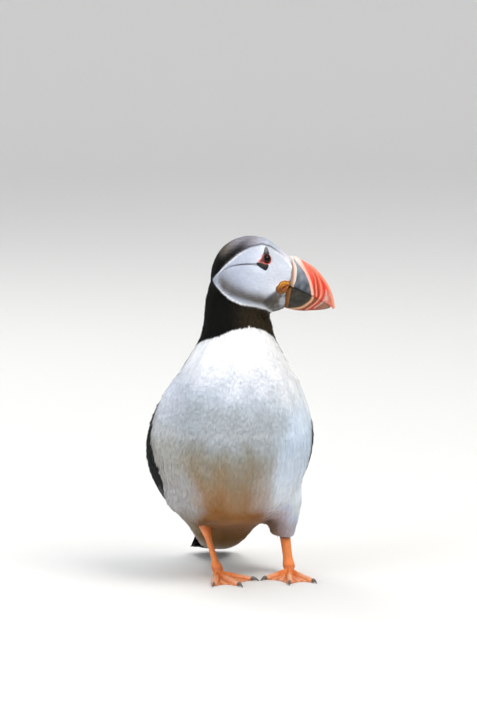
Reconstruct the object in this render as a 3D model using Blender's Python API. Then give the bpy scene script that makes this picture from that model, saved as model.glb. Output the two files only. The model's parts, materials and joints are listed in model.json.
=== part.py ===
"""An Atlantic puffin at life size, standing upright on both feet with its head turned to its left.

Metres, +Z up. The bird's breast faces -Y, its left side is +X, and both soles lie on the floor at z = 0.
Its sizes are written in millimetres, and `MM` turns them to metres. Two guide lines run along each of
the body, the head and the tail, and every cross-section spans from one line to the other.
"""

import math

import bmesh
import bpy
from mathutils import Matrix, Vector
from mathutils.bvhtree import BVHTree

MM = 0.001
GAP = 0.35  # clearance between two pieces that meet
STANCE_SHIFT = Vector((-2.26, -31.56, 0.0))  # carries the middle of the footprint to the origin

# The body, from inside the head down to the root of the tail. Each row is one rib:
# breast line (forward, height), back line (forward, height), half width, lean towards the bird's left.
BODY_RIBS = [
    (17.5, 185.0, -15.5, 185.0, 17.0, 0.8),
    (22.0, 176.0, -17.5, 176.0, 21.0, 0.6),
    (25.0, 165.5, -19.5, 165.5, 22.3, 0.5),
    (29.0, 155.0, -23.0, 154.5, 25.0, 0.4),
    (36.5, 143.5, -29.0, 143.0, 31.6, 0.0),
    (44.0, 132.0, -35.5, 130.5, 38.6, -0.5),
    (49.5, 118.0, -42.5, 115.0, 43.8, -1.0),
    (53.0, 103.0, -49.5, 98.5, 48.4, -1.5),
    (52.5, 87.0, -55.5, 82.0, 50.4, -1.8),
    (47.0, 70.5, -61.0, 68.0, 47.4, -1.8),
    (37.5, 56.5, -66.0, 57.0, 42.2, -1.5),
    (26.0, 45.5, -70.5, 48.0, 37.0, -1.0),
    (9.0, 38.0, -75.0, 41.0, 32.0, -0.3),
    (-11.0, 33.0, -79.0, 35.0, 27.4, 0.6),
    (-31.0, 25.0, -83.0, 30.0, 22.0, 2.0),
    (-48.0, 15.0, -87.0, 24.5, 17.4, 3.2),
    (-65.0, 9.5, -91.5, 19.0, 13.6, 4.2),
    (-82.0, 7.5, -97.0, 14.5, 11.0, 5.0),
]
NECK_TOP, COLLAR, RUMP_END = 0.0, 3.0, 16.0
NAPE_SLOPE = 0.57  # the neck's top slopes up towards the nape
BODY_ROUNDNESS = 2.15  # 2 is an ellipse, and more is squarer

# The tail, from the rump to the tips of its feathers, as ribs like the body's.
TAIL_RIBS = [
    (-65.2, 9.0, -91.8, 18.5, 13.2, 4.2),
    (-80.0, 7.3, -96.2, 14.6, 13.6, 4.8),
    (-94.0, 5.7, -101.5, 10.8, 15.2, 5.6),
    (-106.0, 4.3, -108.0, 7.4, 16.6, 6.4),
    (-112.5, 3.4, -113.2, 5.4, 15.2, 7.0),
    (-116.0, 3.0, -116.4, 4.2, 10.5, 7.2),
]

# The folded wing lies on the body as a shell. Each row: rib number, the angle round the body of its
# lower and upper edge (0 is the breast, 180 the back), and its thickness.
WING_OUTLINE = [
    (5.1, 92.0, 112.0, 0.9),
    (5.5, 86.0, 124.0, 2.4),
    (6.2, 84.0, 134.0, 4.2),
    (7.2, 84.0, 142.0, 5.2),
    (8.2, 86.0, 148.0, 5.0),
    (9.2, 91.0, 152.0, 4.4),
    (10.2, 98.0, 155.0, 3.9),
    (11.4, 108.0, 158.0, 3.4),
    (12.6, 119.0, 161.0, 3.0),
    (13.8, 130.0, 164.0, 2.6),
    (14.7, 141.0, 167.0, 2.2),
    (15.4, 151.0, 169.0, 1.6),
    (15.8, 159.0, 168.0, 1.0),
]
WING_START, WING_FOLD, WING_TIP = 5.1, 11.4, 15.8
WING_EDGE, WING_CLEARANCE = 0.9, 0.7

# The head's own frame: its middle, the way that the bill points, and its ribs from the back of the
# crown to the bill, as crown line (ahead, up), throat line (ahead, up) and half width.
HEAD_TURN = math.radians(78.0)  # from straight ahead towards the bird's left
HEAD_MIDDLE = Vector((5.3, -5.7, 198.3))
HEAD_RIBS = [
    (-22.3, 1.0, -22.5, -4.0, 3.6),
    (-21.2, 5.6, -21.7, -8.6, 9.0),
    (-18.2, 12.2, -19.2, -13.4, 13.4),
    (-13.6, 17.6, -14.6, -17.8, 16.6),
    (-7.6, 21.4, -8.6, -21.4, 18.7),
    (-0.6, 23.5, -1.6, -24.2, 19.6),
    (6.4, 23.4, 5.4, -25.8, 19.3),
    (13.4, 21.8, 12.0, -26.3, 17.8),
    (19.8, 18.5, 18.0, -25.5, 14.8),
    (24.6, 14.6, 22.2, -24.0, 11.7),
    (28.0, 11.6, 24.8, -22.6, 9.3),
]
HEAD_ROUNDNESS = 2.2
CHEEK_FULLNESS = 0.07  # the cheeks are wider than the crown by this share, each way

# The bill in the head's frame. Each row: its cutting edge (ahead, up), its ridge, and half width.
BILL_UPPER = [
    (28.5, -8.0, 29.1, 11.8, 8.8),
    (31.3, -9.0, 32.3, 10.8, 8.1),
    (35.2, -11.0, 37.8, 7.3, 7.0),
    (40.2, -13.5, 44.0, 2.5, 5.7),
    (45.2, -16.2, 49.8, -4.2, 4.4),
    (49.6, -18.6, 53.4, -10.4, 3.3),
    (53.0, -20.9, 55.5, -16.8, 2.2),
    (55.3, -23.4, 56.4, -22.6, 1.0),
]
BILL_LOWER = [
    (28.1, -8.6, 25.7, -22.8, 8.0),
    (33.0, -10.6, 30.6, -23.9, 7.0),
    (38.4, -13.2, 36.0, -24.4, 5.7),
    (43.8, -16.0, 41.5, -24.2, 4.4),
    (48.3, -18.5, 46.6, -23.6, 3.2),
    (51.4, -20.4, 50.4, -22.8, 2.0),
    (52.9, -21.6, 52.6, -22.2, 0.9),
]
CERE_END = 1.0  # the cream band at the bill's root ends at this row
CERE_PROUD = 0.6
TIP_SHARPNESS = 1.75

# The eye and its ornaments, as (ahead, up) in the head's frame.
EYE_PLACE = (13.2, 10.4)
EYE_RADIUS, RING_RADIUS, RING_THICKNESS = 3.4, 3.1, 0.55
RING_FROM_EYE = 2.55  # the ring's plane, out from the eye's centre
EYE_SOCKET = RING_RADIUS + RING_THICKNESS + GAP
UPPER_PLATE = [(-2.0, 4.0), (1.9, 4.0), (1.0, 6.4), (0.3, 8.6), (-0.6, 6.6)]
LOWER_PLATE_PLACE, LOWER_PLATE_SIZE, LOWER_PLATE_TURN = (-3.3, -4.7), (7.8, 2.0), -33.0
PLATE_HEIGHT = 0.9
ROSETTE_PLACE, ROSETTE_SIZE, ROSETTE_LOBES = (23.6, -7.4), (4.3, 4.2, 1.5), 5

# The legs. Each thigh row: (left, forward, height) of its middle, half width and half depth.
THIGH_ROWS = {
    "right": [
        (-29.0, 0.0, 66.0, 15.0, 20.0),
        (-30.0, -4.0, 55.0, 16.0, 21.0),
        (-27.5, -10.0, 46.5, 13.6, 17.5),
        (-22.0, -18.5, 39.5, 9.4, 11.5),
        (-16.8, -25.6, 34.2, 5.6, 6.0),
    ],
    "left": [
        (26.0, -2.0, 63.0, 16.5, 19.5),
        (29.5, -6.5, 51.0, 14.8, 17.5),
        (33.0, -12.5, 40.5, 11.2, 13.0),
        (35.6, -18.0, 31.5, 8.0, 9.0),
        (37.0, -21.4, 23.4, 5.2, 5.6),
    ],
}
SHANK_ENDS = {  # top and bottom of each shank (left, forward, height)
    "right": ((-15.9, -26.6, 33.8), (-8.9, -14.6, 5.0)),
    "left": ((37.1, -22.0, 23.0), (38.0, -14.6, 5.0)),
}
SHANK_RADII = {  # share of the way down, half width, half depth
    "right": [(0.0, 4.3, 4.5), (0.16, 4.5, 4.6), (0.36, 3.3, 3.8), (0.72, 3.1, 3.5), (1.0, 3.9, 4.1)],
    "left": [(0.0, 3.7, 4.1), (0.3, 3.5, 3.8), (0.7, 3.5, 3.7), (1.0, 4.1, 4.3)],
}
FOOT_HEADING = {"right": 9.0, "left": -12.0}  # degrees from straight ahead towards the left
TOES = [  # degrees outwards from the middle toe, length, claw length
    ("outer", 25.0, 35.0, 5.5),
    ("middle", 0.0, 37.0, 7.0),
    ("inner", -35.0, 26.0, 5.5),
]
TOE_HALF_WIDTH, TOE_HEIGHT, WEB_HEIGHT, JOINT_HEIGHT = 2.1, 3.2, 1.2, 4.6
WEB_SCALLOP = 0.13  # how far the web's edge draws back between two toes
CLAW_RADIUS = 1.35


# ---------------------------------------------------------------- tools


def material(name, rgb, roughness, metallic=0.0):
    made = bpy.data.materials.new(name)
    made.use_nodes = True
    shader = made.node_tree.nodes["Principled BSDF"]
    shader.inputs["Base Color"].default_value = (*rgb, 1.0)
    shader.inputs["Roughness"].default_value = roughness
    shader.inputs["Metallic"].default_value = metallic
    return made


def clear_scene():
    for item in list(bpy.data.objects):
        bpy.data.objects.remove(item)


def along(rows, t):
    """The row at place t of a table, on a smooth curve through all its rows."""
    last = len(rows) - 1
    t = min(max(t, 0.0), float(last))
    i = min(int(t), last - 1)
    u = t - i
    before, start, end, after = (rows[min(max(k, 0), last)] for k in (i - 1, i, i + 1, i + 2))
    return [
        0.5 * (2 * b + (c - a) * u + (2 * a - 5 * b + 4 * c - d) * u * u + (3 * b - a - 3 * c + d) * u**3)
        for a, b, c, d in zip(before, start, end, after)
    ]


def steps(first, last, count):
    return [first + (last - first) * k / (count - 1) for k in range(count)]


def rounded(value, roundness):
    return math.copysign(abs(value) ** (2.0 / roundness), value)


def solid(name, build, finish, smooth=True):
    """One named object from a function that fills a bmesh, with its faces turned outwards."""
    shape = bmesh.new()
    build(shape)
    bmesh.ops.recalc_face_normals(shape, faces=shape.faces)
    mesh = bpy.data.meshes.new(name)
    shape.to_mesh(mesh)
    shape.free()
    if smooth:
        mesh.shade_smooth()
        mesh.set_sharp_from_angle(angle=math.radians(50))
    made = bpy.data.objects.new(name, mesh)
    made.data.materials.append(finish)
    bpy.context.scene.collection.objects.link(made)
    made.location = STANCE_SHIFT * MM
    return made


def loft(rings):
    """A builder that joins closed rings of points into one skin, with a flat cap at each end."""

    def build(shape):
        loops = [[shape.verts.new(Vector(point) * MM) for point in ring] for ring in rings]
        count = len(rings[0])
        for near, far in zip(loops, loops[1:]):
            for k in range(count):
                shape.faces.new((near[k], near[(k + 1) % count], far[(k + 1) % count], far[k]))
        shape.faces.new(loops[0])
        shape.faces.new(loops[-1])

    return build


def cutter(target, tool, operation="DIFFERENCE"):
    """Cuts a hidden tool out of the target with a Boolean."""
    tool.hide_render = True
    tool.display_type = "WIRE"
    cut = target.modifiers.new("cut_" + tool.name, "BOOLEAN")
    cut.operation = operation
    cut.object = tool
    cut.solver = "EXACT"


# ---------------------------------------------------------------- body, neck and tail


def rib_point(ribs, t, angle, grow=0.0):
    """A point of the body's or tail's surface: t is the rib, and the angle goes from the breast line
    round the bird's left side to the back line."""
    front, front_up, back, back_up, half, lean = along(ribs, t)
    middle = Vector((lean, -(front + back) / 2, (front_up + back_up) / 2))
    to_front = Vector((0.0, -(front - back) / 2, (front_up - back_up) / 2))
    reach = to_front.length
    across = rounded(math.sin(angle), BODY_ROUNDNESS) * (half + grow)
    ahead = rounded(math.cos(angle), BODY_ROUNDNESS) * (reach + grow) / reach
    point = middle + to_front * ahead
    point.x += across
    return point


def slope_to_nape(point, t):
    """Tips the neck's upper rings up at the nape and down at the throat, in the head's direction."""
    share = max(0.0, 1.0 - t / 2.0)
    ahead = point.x * math.sin(HEAD_TURN) - point.y * math.cos(HEAD_TURN)
    point.z -= NAPE_SLOPE * share * ahead
    return point


def body_ring(t, segments, grow=0.0):
    ring = [rib_point(BODY_RIBS, t, 2 * math.pi * k / segments, grow) for k in range(segments)]
    return [slope_to_nape(point, t) for point in ring]


def body_normal(t, angle):
    """The outward direction of the body's surface at a place on it."""
    step = 0.02
    along_body = rib_point(BODY_RIBS, t + step, angle) - rib_point(BODY_RIBS, t - step, angle)
    round_body = rib_point(BODY_RIBS, t, angle + step) - rib_point(BODY_RIBS, t, angle - step)
    return round_body.cross(along_body).normalized() * -1.0


def make_neck(finish):
    return solid("neck", loft([body_ring(t, 28) for t in steps(NECK_TOP, COLLAR, 7)]), finish)


def make_trunk(finish):
    start = COLLAR + GAP / 10.5  # the ribs stand 10.5 mm apart here
    return solid("trunk", loft([body_ring(t, 28) for t in steps(start, RUMP_END, 21)]), finish)


def make_tail(finish):
    last = len(TAIL_RIBS) - 1
    rings = [
        [rib_point(TAIL_RIBS, t, 2 * math.pi * k / 18) for k in range(18)] for t in steps(0.0, last, 11)
    ]
    return solid("tail", loft(rings), finish)


# ---------------------------------------------------------------- wings


def wing_point(t, across, side, layer):
    """A point of the folded wing: across runs from its lower edge to its upper one, and layer is 0 on
    the body's side and 1 outside."""
    row = along(WING_OUTLINE, wing_row(t))
    angle = math.radians(row[1] + (row[2] - row[1]) * across)
    crown = WING_EDGE + (row[3] - WING_EDGE) * math.sin(math.pi * across) ** 0.7
    lift = WING_CLEARANCE + layer * crown
    return rib_point(BODY_RIBS, t, angle * side) + body_normal(t, angle * side) * lift


def wing_row(t):
    """Which place of WING_OUTLINE holds rib t."""
    for k, (low, high) in enumerate(zip(WING_OUTLINE, WING_OUTLINE[1:])):
        if t <= high[0]:
            return k + (t - low[0]) / (high[0] - low[0])
    return float(len(WING_OUTLINE) - 1)


def shell(columns):
    """A builder for a closed shell from columns[i][j] = (inner point, outer point)."""

    def build(shape):
        layers = [
            [[shape.verts.new(pair[layer] * MM) for pair in column] for column in columns] for layer in (0, 1)
        ]
        rows, wide = len(columns), len(columns[0])
        for grid in layers:
            for i in range(rows - 1):
                for j in range(wide - 1):
                    shape.faces.new((grid[i][j], grid[i + 1][j], grid[i + 1][j + 1], grid[i][j + 1]))
        inner, outer = layers
        rim = [(i, 0) for i in range(rows)] + [(rows - 1, j) for j in range(1, wide)]
        rim += [(i, wide - 1) for i in range(rows - 2, -1, -1)] + [(0, j) for j in range(wide - 2, 0, -1)]
        for (a, b), (c, d) in zip(rim, rim[1:] + rim[:1]):
            shape.faces.new((inner[a][b], inner[c][d], outer[c][d], outer[a][b]))

    return build


def make_wing(name, side, first, last, count, finish):
    columns = [
        [(wing_point(t, a, side, 0), wing_point(t, a, side, 1)) for a in steps(0.0, 1.0, 8)]
        for t in steps(first, last, count)
    ]
    return solid(name, shell(columns), finish)


# ---------------------------------------------------------------- head


def head_frame():
    """Columns: ahead along the bill, the head's left, up."""
    ahead = Vector((math.sin(HEAD_TURN), -math.cos(HEAD_TURN), 0.0))
    left = Vector((0.0, 0.0, 1.0)).cross(ahead)
    return ahead, left


def in_head(ahead, left, up):
    """A point of the bird from its place in the head's frame."""
    forward, sideways = head_frame()
    return HEAD_MIDDLE + forward * ahead + sideways * left + Vector((0.0, 0.0, up))


def head_ring(t, segments, grow=0.0):
    top_x, top_z, low_x, low_z, half = along(HEAD_RIBS, t)
    ring = []
    for k in range(segments):
        angle = 2 * math.pi * k / segments
        height = rounded(math.cos(angle), HEAD_ROUNDNESS)
        width = rounded(math.sin(angle), HEAD_ROUNDNESS) * (1.0 - CHEEK_FULLNESS * height)
        share = 0.5 * (1.0 + height)
        up = low_z + (top_z - low_z) * share + grow * height
        ring.append(in_head(low_x + (top_x - low_x) * share, width * (half + grow), up))
    return ring


def make_head(finish, name="head", grow=0.0):
    rings = [head_ring(t, 30, grow) for t in steps(0.0, len(HEAD_RIBS) - 1, 15)]
    return solid(name, loft(rings), finish)


def side_of_head(head, place, side):
    """A matrix that carries X ahead, Y up and Z outwards to the head's side at a place (ahead, up)."""
    shape = bmesh.new()
    shape.from_mesh(head.data)
    tree = BVHTree.FromBMesh(shape)
    shape.free()
    forward, sideways = head_frame()
    start = in_head(place[0], side * 60.0, place[1]) * MM
    point, normal, _, _ = tree.ray_cast(start, sideways * -side)
    out = normal.normalized()
    ahead = (forward - out * forward.dot(out)).normalized()
    up = ahead.cross(out) * side
    axes = Matrix((ahead, up, out)).transposed().to_4x4()
    return Matrix.Translation(point) @ axes


def seated(build, seat):
    """The same builder, carried by the matrix of its seat."""

    def build_seated(shape):
        build(shape)
        bmesh.ops.transform(shape, matrix=seat, verts=shape.verts)

    return build_seated


# ---------------------------------------------------------------- bill


def bill_ring(rows, t, half_points, grow=0.0):
    """A mandible's section: flat along its cutting edge, and narrowing to a round ridge."""
    edge_x, edge_z, ridge_x, ridge_z, half = along(rows, t)
    reach = math.hypot(ridge_x - edge_x, ridge_z - edge_z)
    right, left = [], []
    for k in range(half_points + 1):
        share = math.sin(0.5 * math.pi * k / half_points)
        width = (half + grow) * (1.0 - share**TIP_SHARPNESS) ** 0.72
        out = share * (1.0 + grow / reach)
        x = edge_x + (ridge_x - edge_x) * out
        z = edge_z + (ridge_z - edge_z) * out
        right.append(in_head(x, -width, z))
        left.append(in_head(x, width, z))
    return right + left[-2::-1]


def make_mandible(name, rows, first, last, count, finish, grow=0.0):
    rings = [bill_ring(rows, t, 8, grow) for t in steps(first, last, count)]
    return solid(name, loft(rings), finish)


def make_bill(horn, cream):
    upper_start = CERE_END + GAP / 3.0  # the first rows stand 3 mm apart
    make_mandible("bill_cere", BILL_UPPER, 0.0, CERE_END, 3, cream, CERE_PROUD)
    make_mandible("bill_upper", BILL_UPPER, upper_start, len(BILL_UPPER) - 1, 13, horn)
    make_mandible("bill_lower", BILL_LOWER, 0.0, len(BILL_LOWER) - 1, 11, horn)


# ---------------------------------------------------------------- eyes and face ornaments


def flat_piece(outline, height):
    """A builder for a low plate whose top is drawn in from its outline. It stands on z = 0."""

    def build(shape):
        middle = sum((Vector(p) for p in outline), Vector((0, 0))) / len(outline)
        levels = [(1.0, 0.0), (1.0, height * 0.45), (0.72, height * 0.9), (0.4, height)]
        rings = []
        for share, up in levels:
            points = [middle + (Vector(p) - middle) * share for p in outline]
            rings.append([(p.x, p.y, up) for p in points])
        loft(rings)(shape)

    return build


def capsule_outline(size, turn, middle):
    """A long outline with round ends."""
    half, end = (size[0] - size[1]) / 2, size[1] / 2
    angle, points = math.radians(turn), []
    for k in range(12):
        around = math.pi * (k + 0.5) / 6 - math.pi / 2
        x = end * math.cos(around) + (half if math.cos(around) > 0 else -half)
        y = end * math.sin(around)
        points.append(
            (
                middle[0] + x * math.cos(angle) - y * math.sin(angle),
                middle[1] + x * math.sin(angle) + y * math.cos(angle),
            )
        )
    return points


def rosette_rings():
    """The fleshy rosette at the gape: a low dome with a few lobes and a dimple."""
    across, tall, thick = ROSETTE_SIZE
    rings = []
    for share, up in ((0.9, 0.0), (1.0, 0.3), (0.86, 0.8), (0.5, 1.0), (0.2, 0.75)):
        ring = []
        for k in range(20):
            angle = 2 * math.pi * k / 20
            lobe = 1.0 + 0.09 * math.cos(ROSETTE_LOBES * angle)
            ring.append(
                (across * share * lobe * math.cos(angle), tall * share * lobe * math.sin(angle), thick * up)
            )
        rings.append(ring)
    return rings


def make_eye(head, side, word, finishes):
    """The eyeball, its red ring and the two horny plates on one side of the head."""
    sink = Matrix.Translation((0.0, 0.0, -(RING_FROM_EYE - 0.3) * MM))

    def ball(shape):
        bmesh.ops.create_uvsphere(shape, u_segments=12, v_segments=8, radius=EYE_RADIUS * MM)

    def ring(shape):
        rings = []
        for k in range(16):
            turn = Matrix.Rotation(2 * math.pi * k / 16, 3, "Z")
            section = []
            for j in range(6):
                around = 2 * math.pi * j / 6
                out = RING_RADIUS + RING_THICKNESS * math.cos(around)
                section.append(turn @ Vector((out, 0.0, RING_THICKNESS * math.sin(around))))
            rings.append([shape.verts.new(point * MM) for point in section])
        for k in range(16):
            near, far = rings[k], rings[(k + 1) % 16]
            for j in range(6):
                shape.faces.new((near[j], near[(j + 1) % 6], far[(j + 1) % 6], far[j]))

    def socket(shape):
        bmesh.ops.create_cone(
            shape,
            cap_ends=True,
            segments=20,
            radius1=EYE_SOCKET * MM,
            radius2=EYE_SOCKET * MM,
            depth=(EYE_RADIUS + GAP + 6.0) * MM,
        )
        bmesh.ops.translate(shape, vec=(0.0, 0.0, (6.0 - EYE_RADIUS - GAP) / 2 * MM), verts=shape.verts)

    eye = side_of_head(head, EYE_PLACE, side) @ sink
    out = Matrix.Translation((0.0, 0.0, RING_FROM_EYE * MM))
    solid("eye_" + word, seated(ball, eye), finishes["eye"])
    solid("eye_ring_" + word, seated(ring, eye @ out), finishes["ring"])
    cutter(head, solid("socket_" + word, seated(socket, eye), finishes["eye"]))

    lower = capsule_outline(LOWER_PLATE_SIZE, LOWER_PLATE_TURN, (0.0, 0.0))
    middle = (0.1, 6.0)
    upper = [(x - middle[0], y - middle[1]) for x, y in UPPER_PLATE]
    for name, outline, offset in (
        ("eye_plate_upper_", upper, middle),
        ("eye_plate_lower_", lower, LOWER_PLATE_PLACE),
    ):
        spot = (EYE_PLACE[0] + offset[0], EYE_PLACE[1] + offset[1])
        seat = side_of_head(head, spot, side) @ Matrix.Translation((0.0, 0.0, GAP * 1.3 * MM))
        solid(name + word, seated(flat_piece(outline, PLATE_HEIGHT), seat), finishes["plate"])


def make_rosette(head, side, word, finish):
    seat = side_of_head(head, ROSETTE_PLACE, side) @ Matrix.Translation((0.0, 0.0, GAP * 2.2 * MM))
    solid("gape_rosette_" + word, seated(loft(rosette_rings()), seat), finish)


# ---------------------------------------------------------------- legs and feet


def oval(middle, half_width, half_depth, segments):
    left, forward, up = middle
    return [
        Vector(
            (
                left + half_width * math.cos(2 * math.pi * k / segments),
                -forward + half_depth * math.sin(2 * math.pi * k / segments),
                up,
            )
        )
        for k in range(segments)
    ]


def make_thigh(word, finish, name="thigh_", grow=0.0):
    rows = THIGH_ROWS[word]
    rings = []
    for t in steps(0.0, len(rows) - 1, 9):
        left, forward, up, half_width, half_depth = along(rows, t)
        up += grow * (1 if t == 0.0 else -1 if t == len(rows) - 1 else 0)
        rings.append(oval((left, forward, up), half_width + grow, half_depth + grow, 18))
    return solid(name + word, loft(rings), finish)


def make_shank(word, finish, name="shank_", grow=0.0):
    top, bottom = (Vector(end) for end in SHANK_ENDS[word])
    top.z += grow
    rings = []
    for t in steps(0.0, len(SHANK_RADII[word]) - 1, 9):
        share, half_width, half_depth = along(SHANK_RADII[word], t)
        rings.append(oval(top.lerp(bottom, share), half_width + grow, half_depth + grow, 12))
    return solid(name + word, loft(rings), finish)


def toe_direction(word, spread):
    outwards = -1.0 if word == "right" else 1.0
    angle = math.radians(FOOT_HEADING[word] + spread * outwards)
    return Vector((math.sin(angle), -math.cos(angle), 0.0))


def foot_joint(word):
    left, forward, _ = SHANK_ENDS[word][1]
    return Vector((left, -forward, 0.0))


def foot_columns(word):
    """The foot's columns from its outer toe to its inner one: five along each toe and three along each
    web. Each is a list of (place on the floor, height)."""
    joint, outwards = foot_joint(word), -1.0 if word == "right" else 1.0
    heading = toe_direction(word, 0.0)
    side = Vector((-heading.y, heading.x, 0.0)) * outwards
    radii = [5.5, 9.0, 13.0, 18.0, 23.5, 29.5, 36.0]
    reach = radii[-1]
    toes = []
    for _, spread, length, _ in TOES:
        ahead = toe_direction(word, spread)
        across = Vector((-ahead.y, ahead.x, 0.0)) * outwards
        toe = []
        for offset in (1.0, 0.55, 0.0, -0.55, -1.0):
            column = []
            for radius in radii:
                r = radius * length / reach
                half = min(TOE_HALF_WIDTH, 0.19 * r)
                if radius == reach:
                    half *= 0.62
                knuckle = 0.25 * math.sin(math.pi * 3 * radius / reach) ** 2
                tall = TOE_HEIGHT + knuckle + max(0.0, JOINT_HEIGHT - TOE_HEIGHT) * max(0.0, 1 - r / 14)
                tall -= 0.9 * (radius / reach) ** 2
                height = WEB_HEIGHT + (tall - WEB_HEIGHT) * (1.0 - offset * offset)
                column.append((joint + ahead * r + across * half * offset, height))
            toe.append(column)
        toes.append(toe)
    columns = list(toes[0])
    for near, far in zip(toes, toes[1:]):
        for share in (0.25, 0.5, 0.75):
            web = []
            for (a, _), (b, _), radius in zip(near[-1], far[0], radii):
                spot = a.lerp(b, share)
                draw = WEB_SCALLOP * math.sin(math.pi * share) * (radius / reach) ** 2
                thin = WEB_HEIGHT + (JOINT_HEIGHT - WEB_HEIGHT) * max(0.0, 1 - radius / 12)
                web.append((joint + (spot - joint) * (1.0 - draw), thin))
            columns.append(web)
        columns += far
    last = len(columns) - 1
    for k, column in enumerate(columns):
        share = 1.0 - 2.0 * k / last
        arch = math.sqrt(max(0.0, 1.0 - share * share))
        root = [
            (joint - heading * (2.6 + 1.4 * arch) + side * 2.4 * share, 1.0),
            (joint - heading * (1.2 * arch) + side * 3.4 * share, 1.2 + (JOINT_HEIGHT - 1.6) * arch),
        ]
        column[:0] = root
    return columns


def make_foot(word, finish):
    columns = foot_columns(word)

    def build(shape):
        top = [[shape.verts.new((spot + Vector((0, 0, up))) * MM) for spot, up in c] for c in columns]
        wide, rows = len(columns), len(columns[0])
        for i in range(wide - 1):
            for j in range(rows - 1):
                shape.faces.new((top[i][j], top[i + 1][j], top[i + 1][j + 1], top[i][j + 1]))
        rim = [(i, 0) for i in range(wide)] + [(wide - 1, j) for j in range(1, rows)]
        rim += [(i, rows - 1) for i in range(wide - 2, -1, -1)] + [(0, j) for j in range(rows - 2, 0, -1)]
        sole = [shape.verts.new(columns[i][j][0] * MM) for i, j in rim]
        for k, (i, j) in enumerate(rim):
            n, m = rim[(k + 1) % len(rim)]
            shape.faces.new((sole[k], sole[(k + 1) % len(rim)], top[n][m], top[i][j]))
        shape.faces.new(sole)

    return solid("foot_" + word, build, finish)


def make_claw(word, toe, spread, length, claw, finish):
    ahead = toe_direction(word, spread)
    across = Vector((-ahead.y, ahead.x, 0.0))
    root = foot_joint(word) + ahead * (length + GAP)
    rings = []
    for share in steps(0.0, 1.0, 6):
        radius = CLAW_RADIUS * (1.0 - 0.8 * share**1.4)
        middle = root + ahead * claw * share + Vector((0, 0, 0.1 + radius + 0.6 * math.sin(math.pi * share)))
        ring = []
        for k in range(8):
            angle = 2 * math.pi * k / 8
            ring.append(
                middle + across * radius * 0.8 * math.cos(angle) + Vector((0, 0, radius * math.sin(angle)))
            )
        rings.append(ring)
    return solid(f"claw_{word}_{toe}", loft(rings), finish)


# ---------------------------------------------------------------- the bird


def main():
    clear_scene()
    black = material("black_plumage", (0.012, 0.012, 0.014), 0.6)
    white = material("white_plumage", (0.82, 0.83, 0.85), 0.7)
    face = material("grey_white_face", (0.62, 0.64, 0.70), 0.7)
    horn = material("bill_horn", (0.75, 0.11, 0.05), 0.35)
    cream = material("cere", (0.80, 0.70, 0.48), 0.45)
    skin = material("orange_skin", (0.85, 0.25, 0.04), 0.5)
    rosette = material("yellow_rosette", (0.85, 0.42, 0.03), 0.5)
    claw = material("dark_claw", (0.03, 0.03, 0.035), 0.4)
    finishes = {
        "eye": material("eye", (0.02, 0.012, 0.01), 0.05),
        "ring": material("red_eye_ring", (0.55, 0.03, 0.02), 0.45),
        "plate": material("slate_plate", (0.10, 0.11, 0.13), 0.45),
    }

    head = make_head(face)
    neck = make_neck(black)
    cutter(neck, make_head(face, "head_space", GAP))
    trunk = make_trunk(white)
    make_tail(black)
    for word, side in (("left", 1.0), ("right", -1.0)):
        make_wing("wing_" + word, side, WING_START, WING_FOLD, 11, black)
        make_wing("wing_tip_" + word, side, WING_FOLD + GAP / 12.0, WING_TIP, 8, black)
        make_eye(head, side, word, finishes)
        make_rosette(head, side, word, rosette)
        make_thigh(word, white)
        cutter(trunk, make_thigh(word, white, "thigh_space_", GAP))
        make_shank(word, skin)
        cutter(trunk, make_shank(word, skin, "shank_space_", GAP))
        make_foot(word, skin)
        for toe, spread, length, claw_length in TOES:
            make_claw(word, toe, spread, length, claw_length, claw)
    make_bill(horn, cream)


main()
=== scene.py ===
import json
import math

import bmesh
import bpy
import numpy as np
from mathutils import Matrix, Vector
from mathutils.bvhtree import BVHTree
from mathutils.kdtree import KDTree

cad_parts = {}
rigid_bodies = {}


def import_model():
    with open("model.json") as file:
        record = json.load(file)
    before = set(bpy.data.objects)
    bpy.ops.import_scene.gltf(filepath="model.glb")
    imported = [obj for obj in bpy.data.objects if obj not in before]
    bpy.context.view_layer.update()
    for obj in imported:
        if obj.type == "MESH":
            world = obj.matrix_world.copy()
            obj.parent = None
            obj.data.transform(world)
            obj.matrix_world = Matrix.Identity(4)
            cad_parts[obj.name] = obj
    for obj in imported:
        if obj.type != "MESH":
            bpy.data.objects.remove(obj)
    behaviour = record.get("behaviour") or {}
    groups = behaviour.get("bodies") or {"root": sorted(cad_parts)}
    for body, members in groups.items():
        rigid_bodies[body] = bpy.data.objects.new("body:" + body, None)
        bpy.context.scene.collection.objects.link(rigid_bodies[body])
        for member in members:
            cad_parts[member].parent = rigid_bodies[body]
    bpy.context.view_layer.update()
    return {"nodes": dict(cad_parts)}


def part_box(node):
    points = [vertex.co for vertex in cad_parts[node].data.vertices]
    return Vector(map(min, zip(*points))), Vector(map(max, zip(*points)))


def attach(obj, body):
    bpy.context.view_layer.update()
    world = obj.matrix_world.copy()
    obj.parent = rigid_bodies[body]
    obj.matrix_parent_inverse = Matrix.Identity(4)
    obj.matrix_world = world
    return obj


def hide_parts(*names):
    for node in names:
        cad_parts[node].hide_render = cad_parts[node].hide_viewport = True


for item in list(bpy.data.objects):
    bpy.data.objects.remove(item)

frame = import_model()

mm = 0.001
up = np.array([0.0, 0.0, 1.0])
forward = np.array([0.0, -1.0, 0.0])  # the way the breast faces
sides = {"left": 1.0, "right": -1.0}


def toLinear(code):
    # colours are sRGB hex, and turn to linear here
    channels = np.array([int(code[k : k + 2], 16) for k in (1, 3, 5)]) / 255
    return np.where(channels <= 0.04045, channels / 12.92, ((channels + 0.055) / 1.055) ** 2.4)


def tonesOf(colours):
    return {name: toLinear(code) for name, code in colours.items() if isinstance(code, str)}


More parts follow.
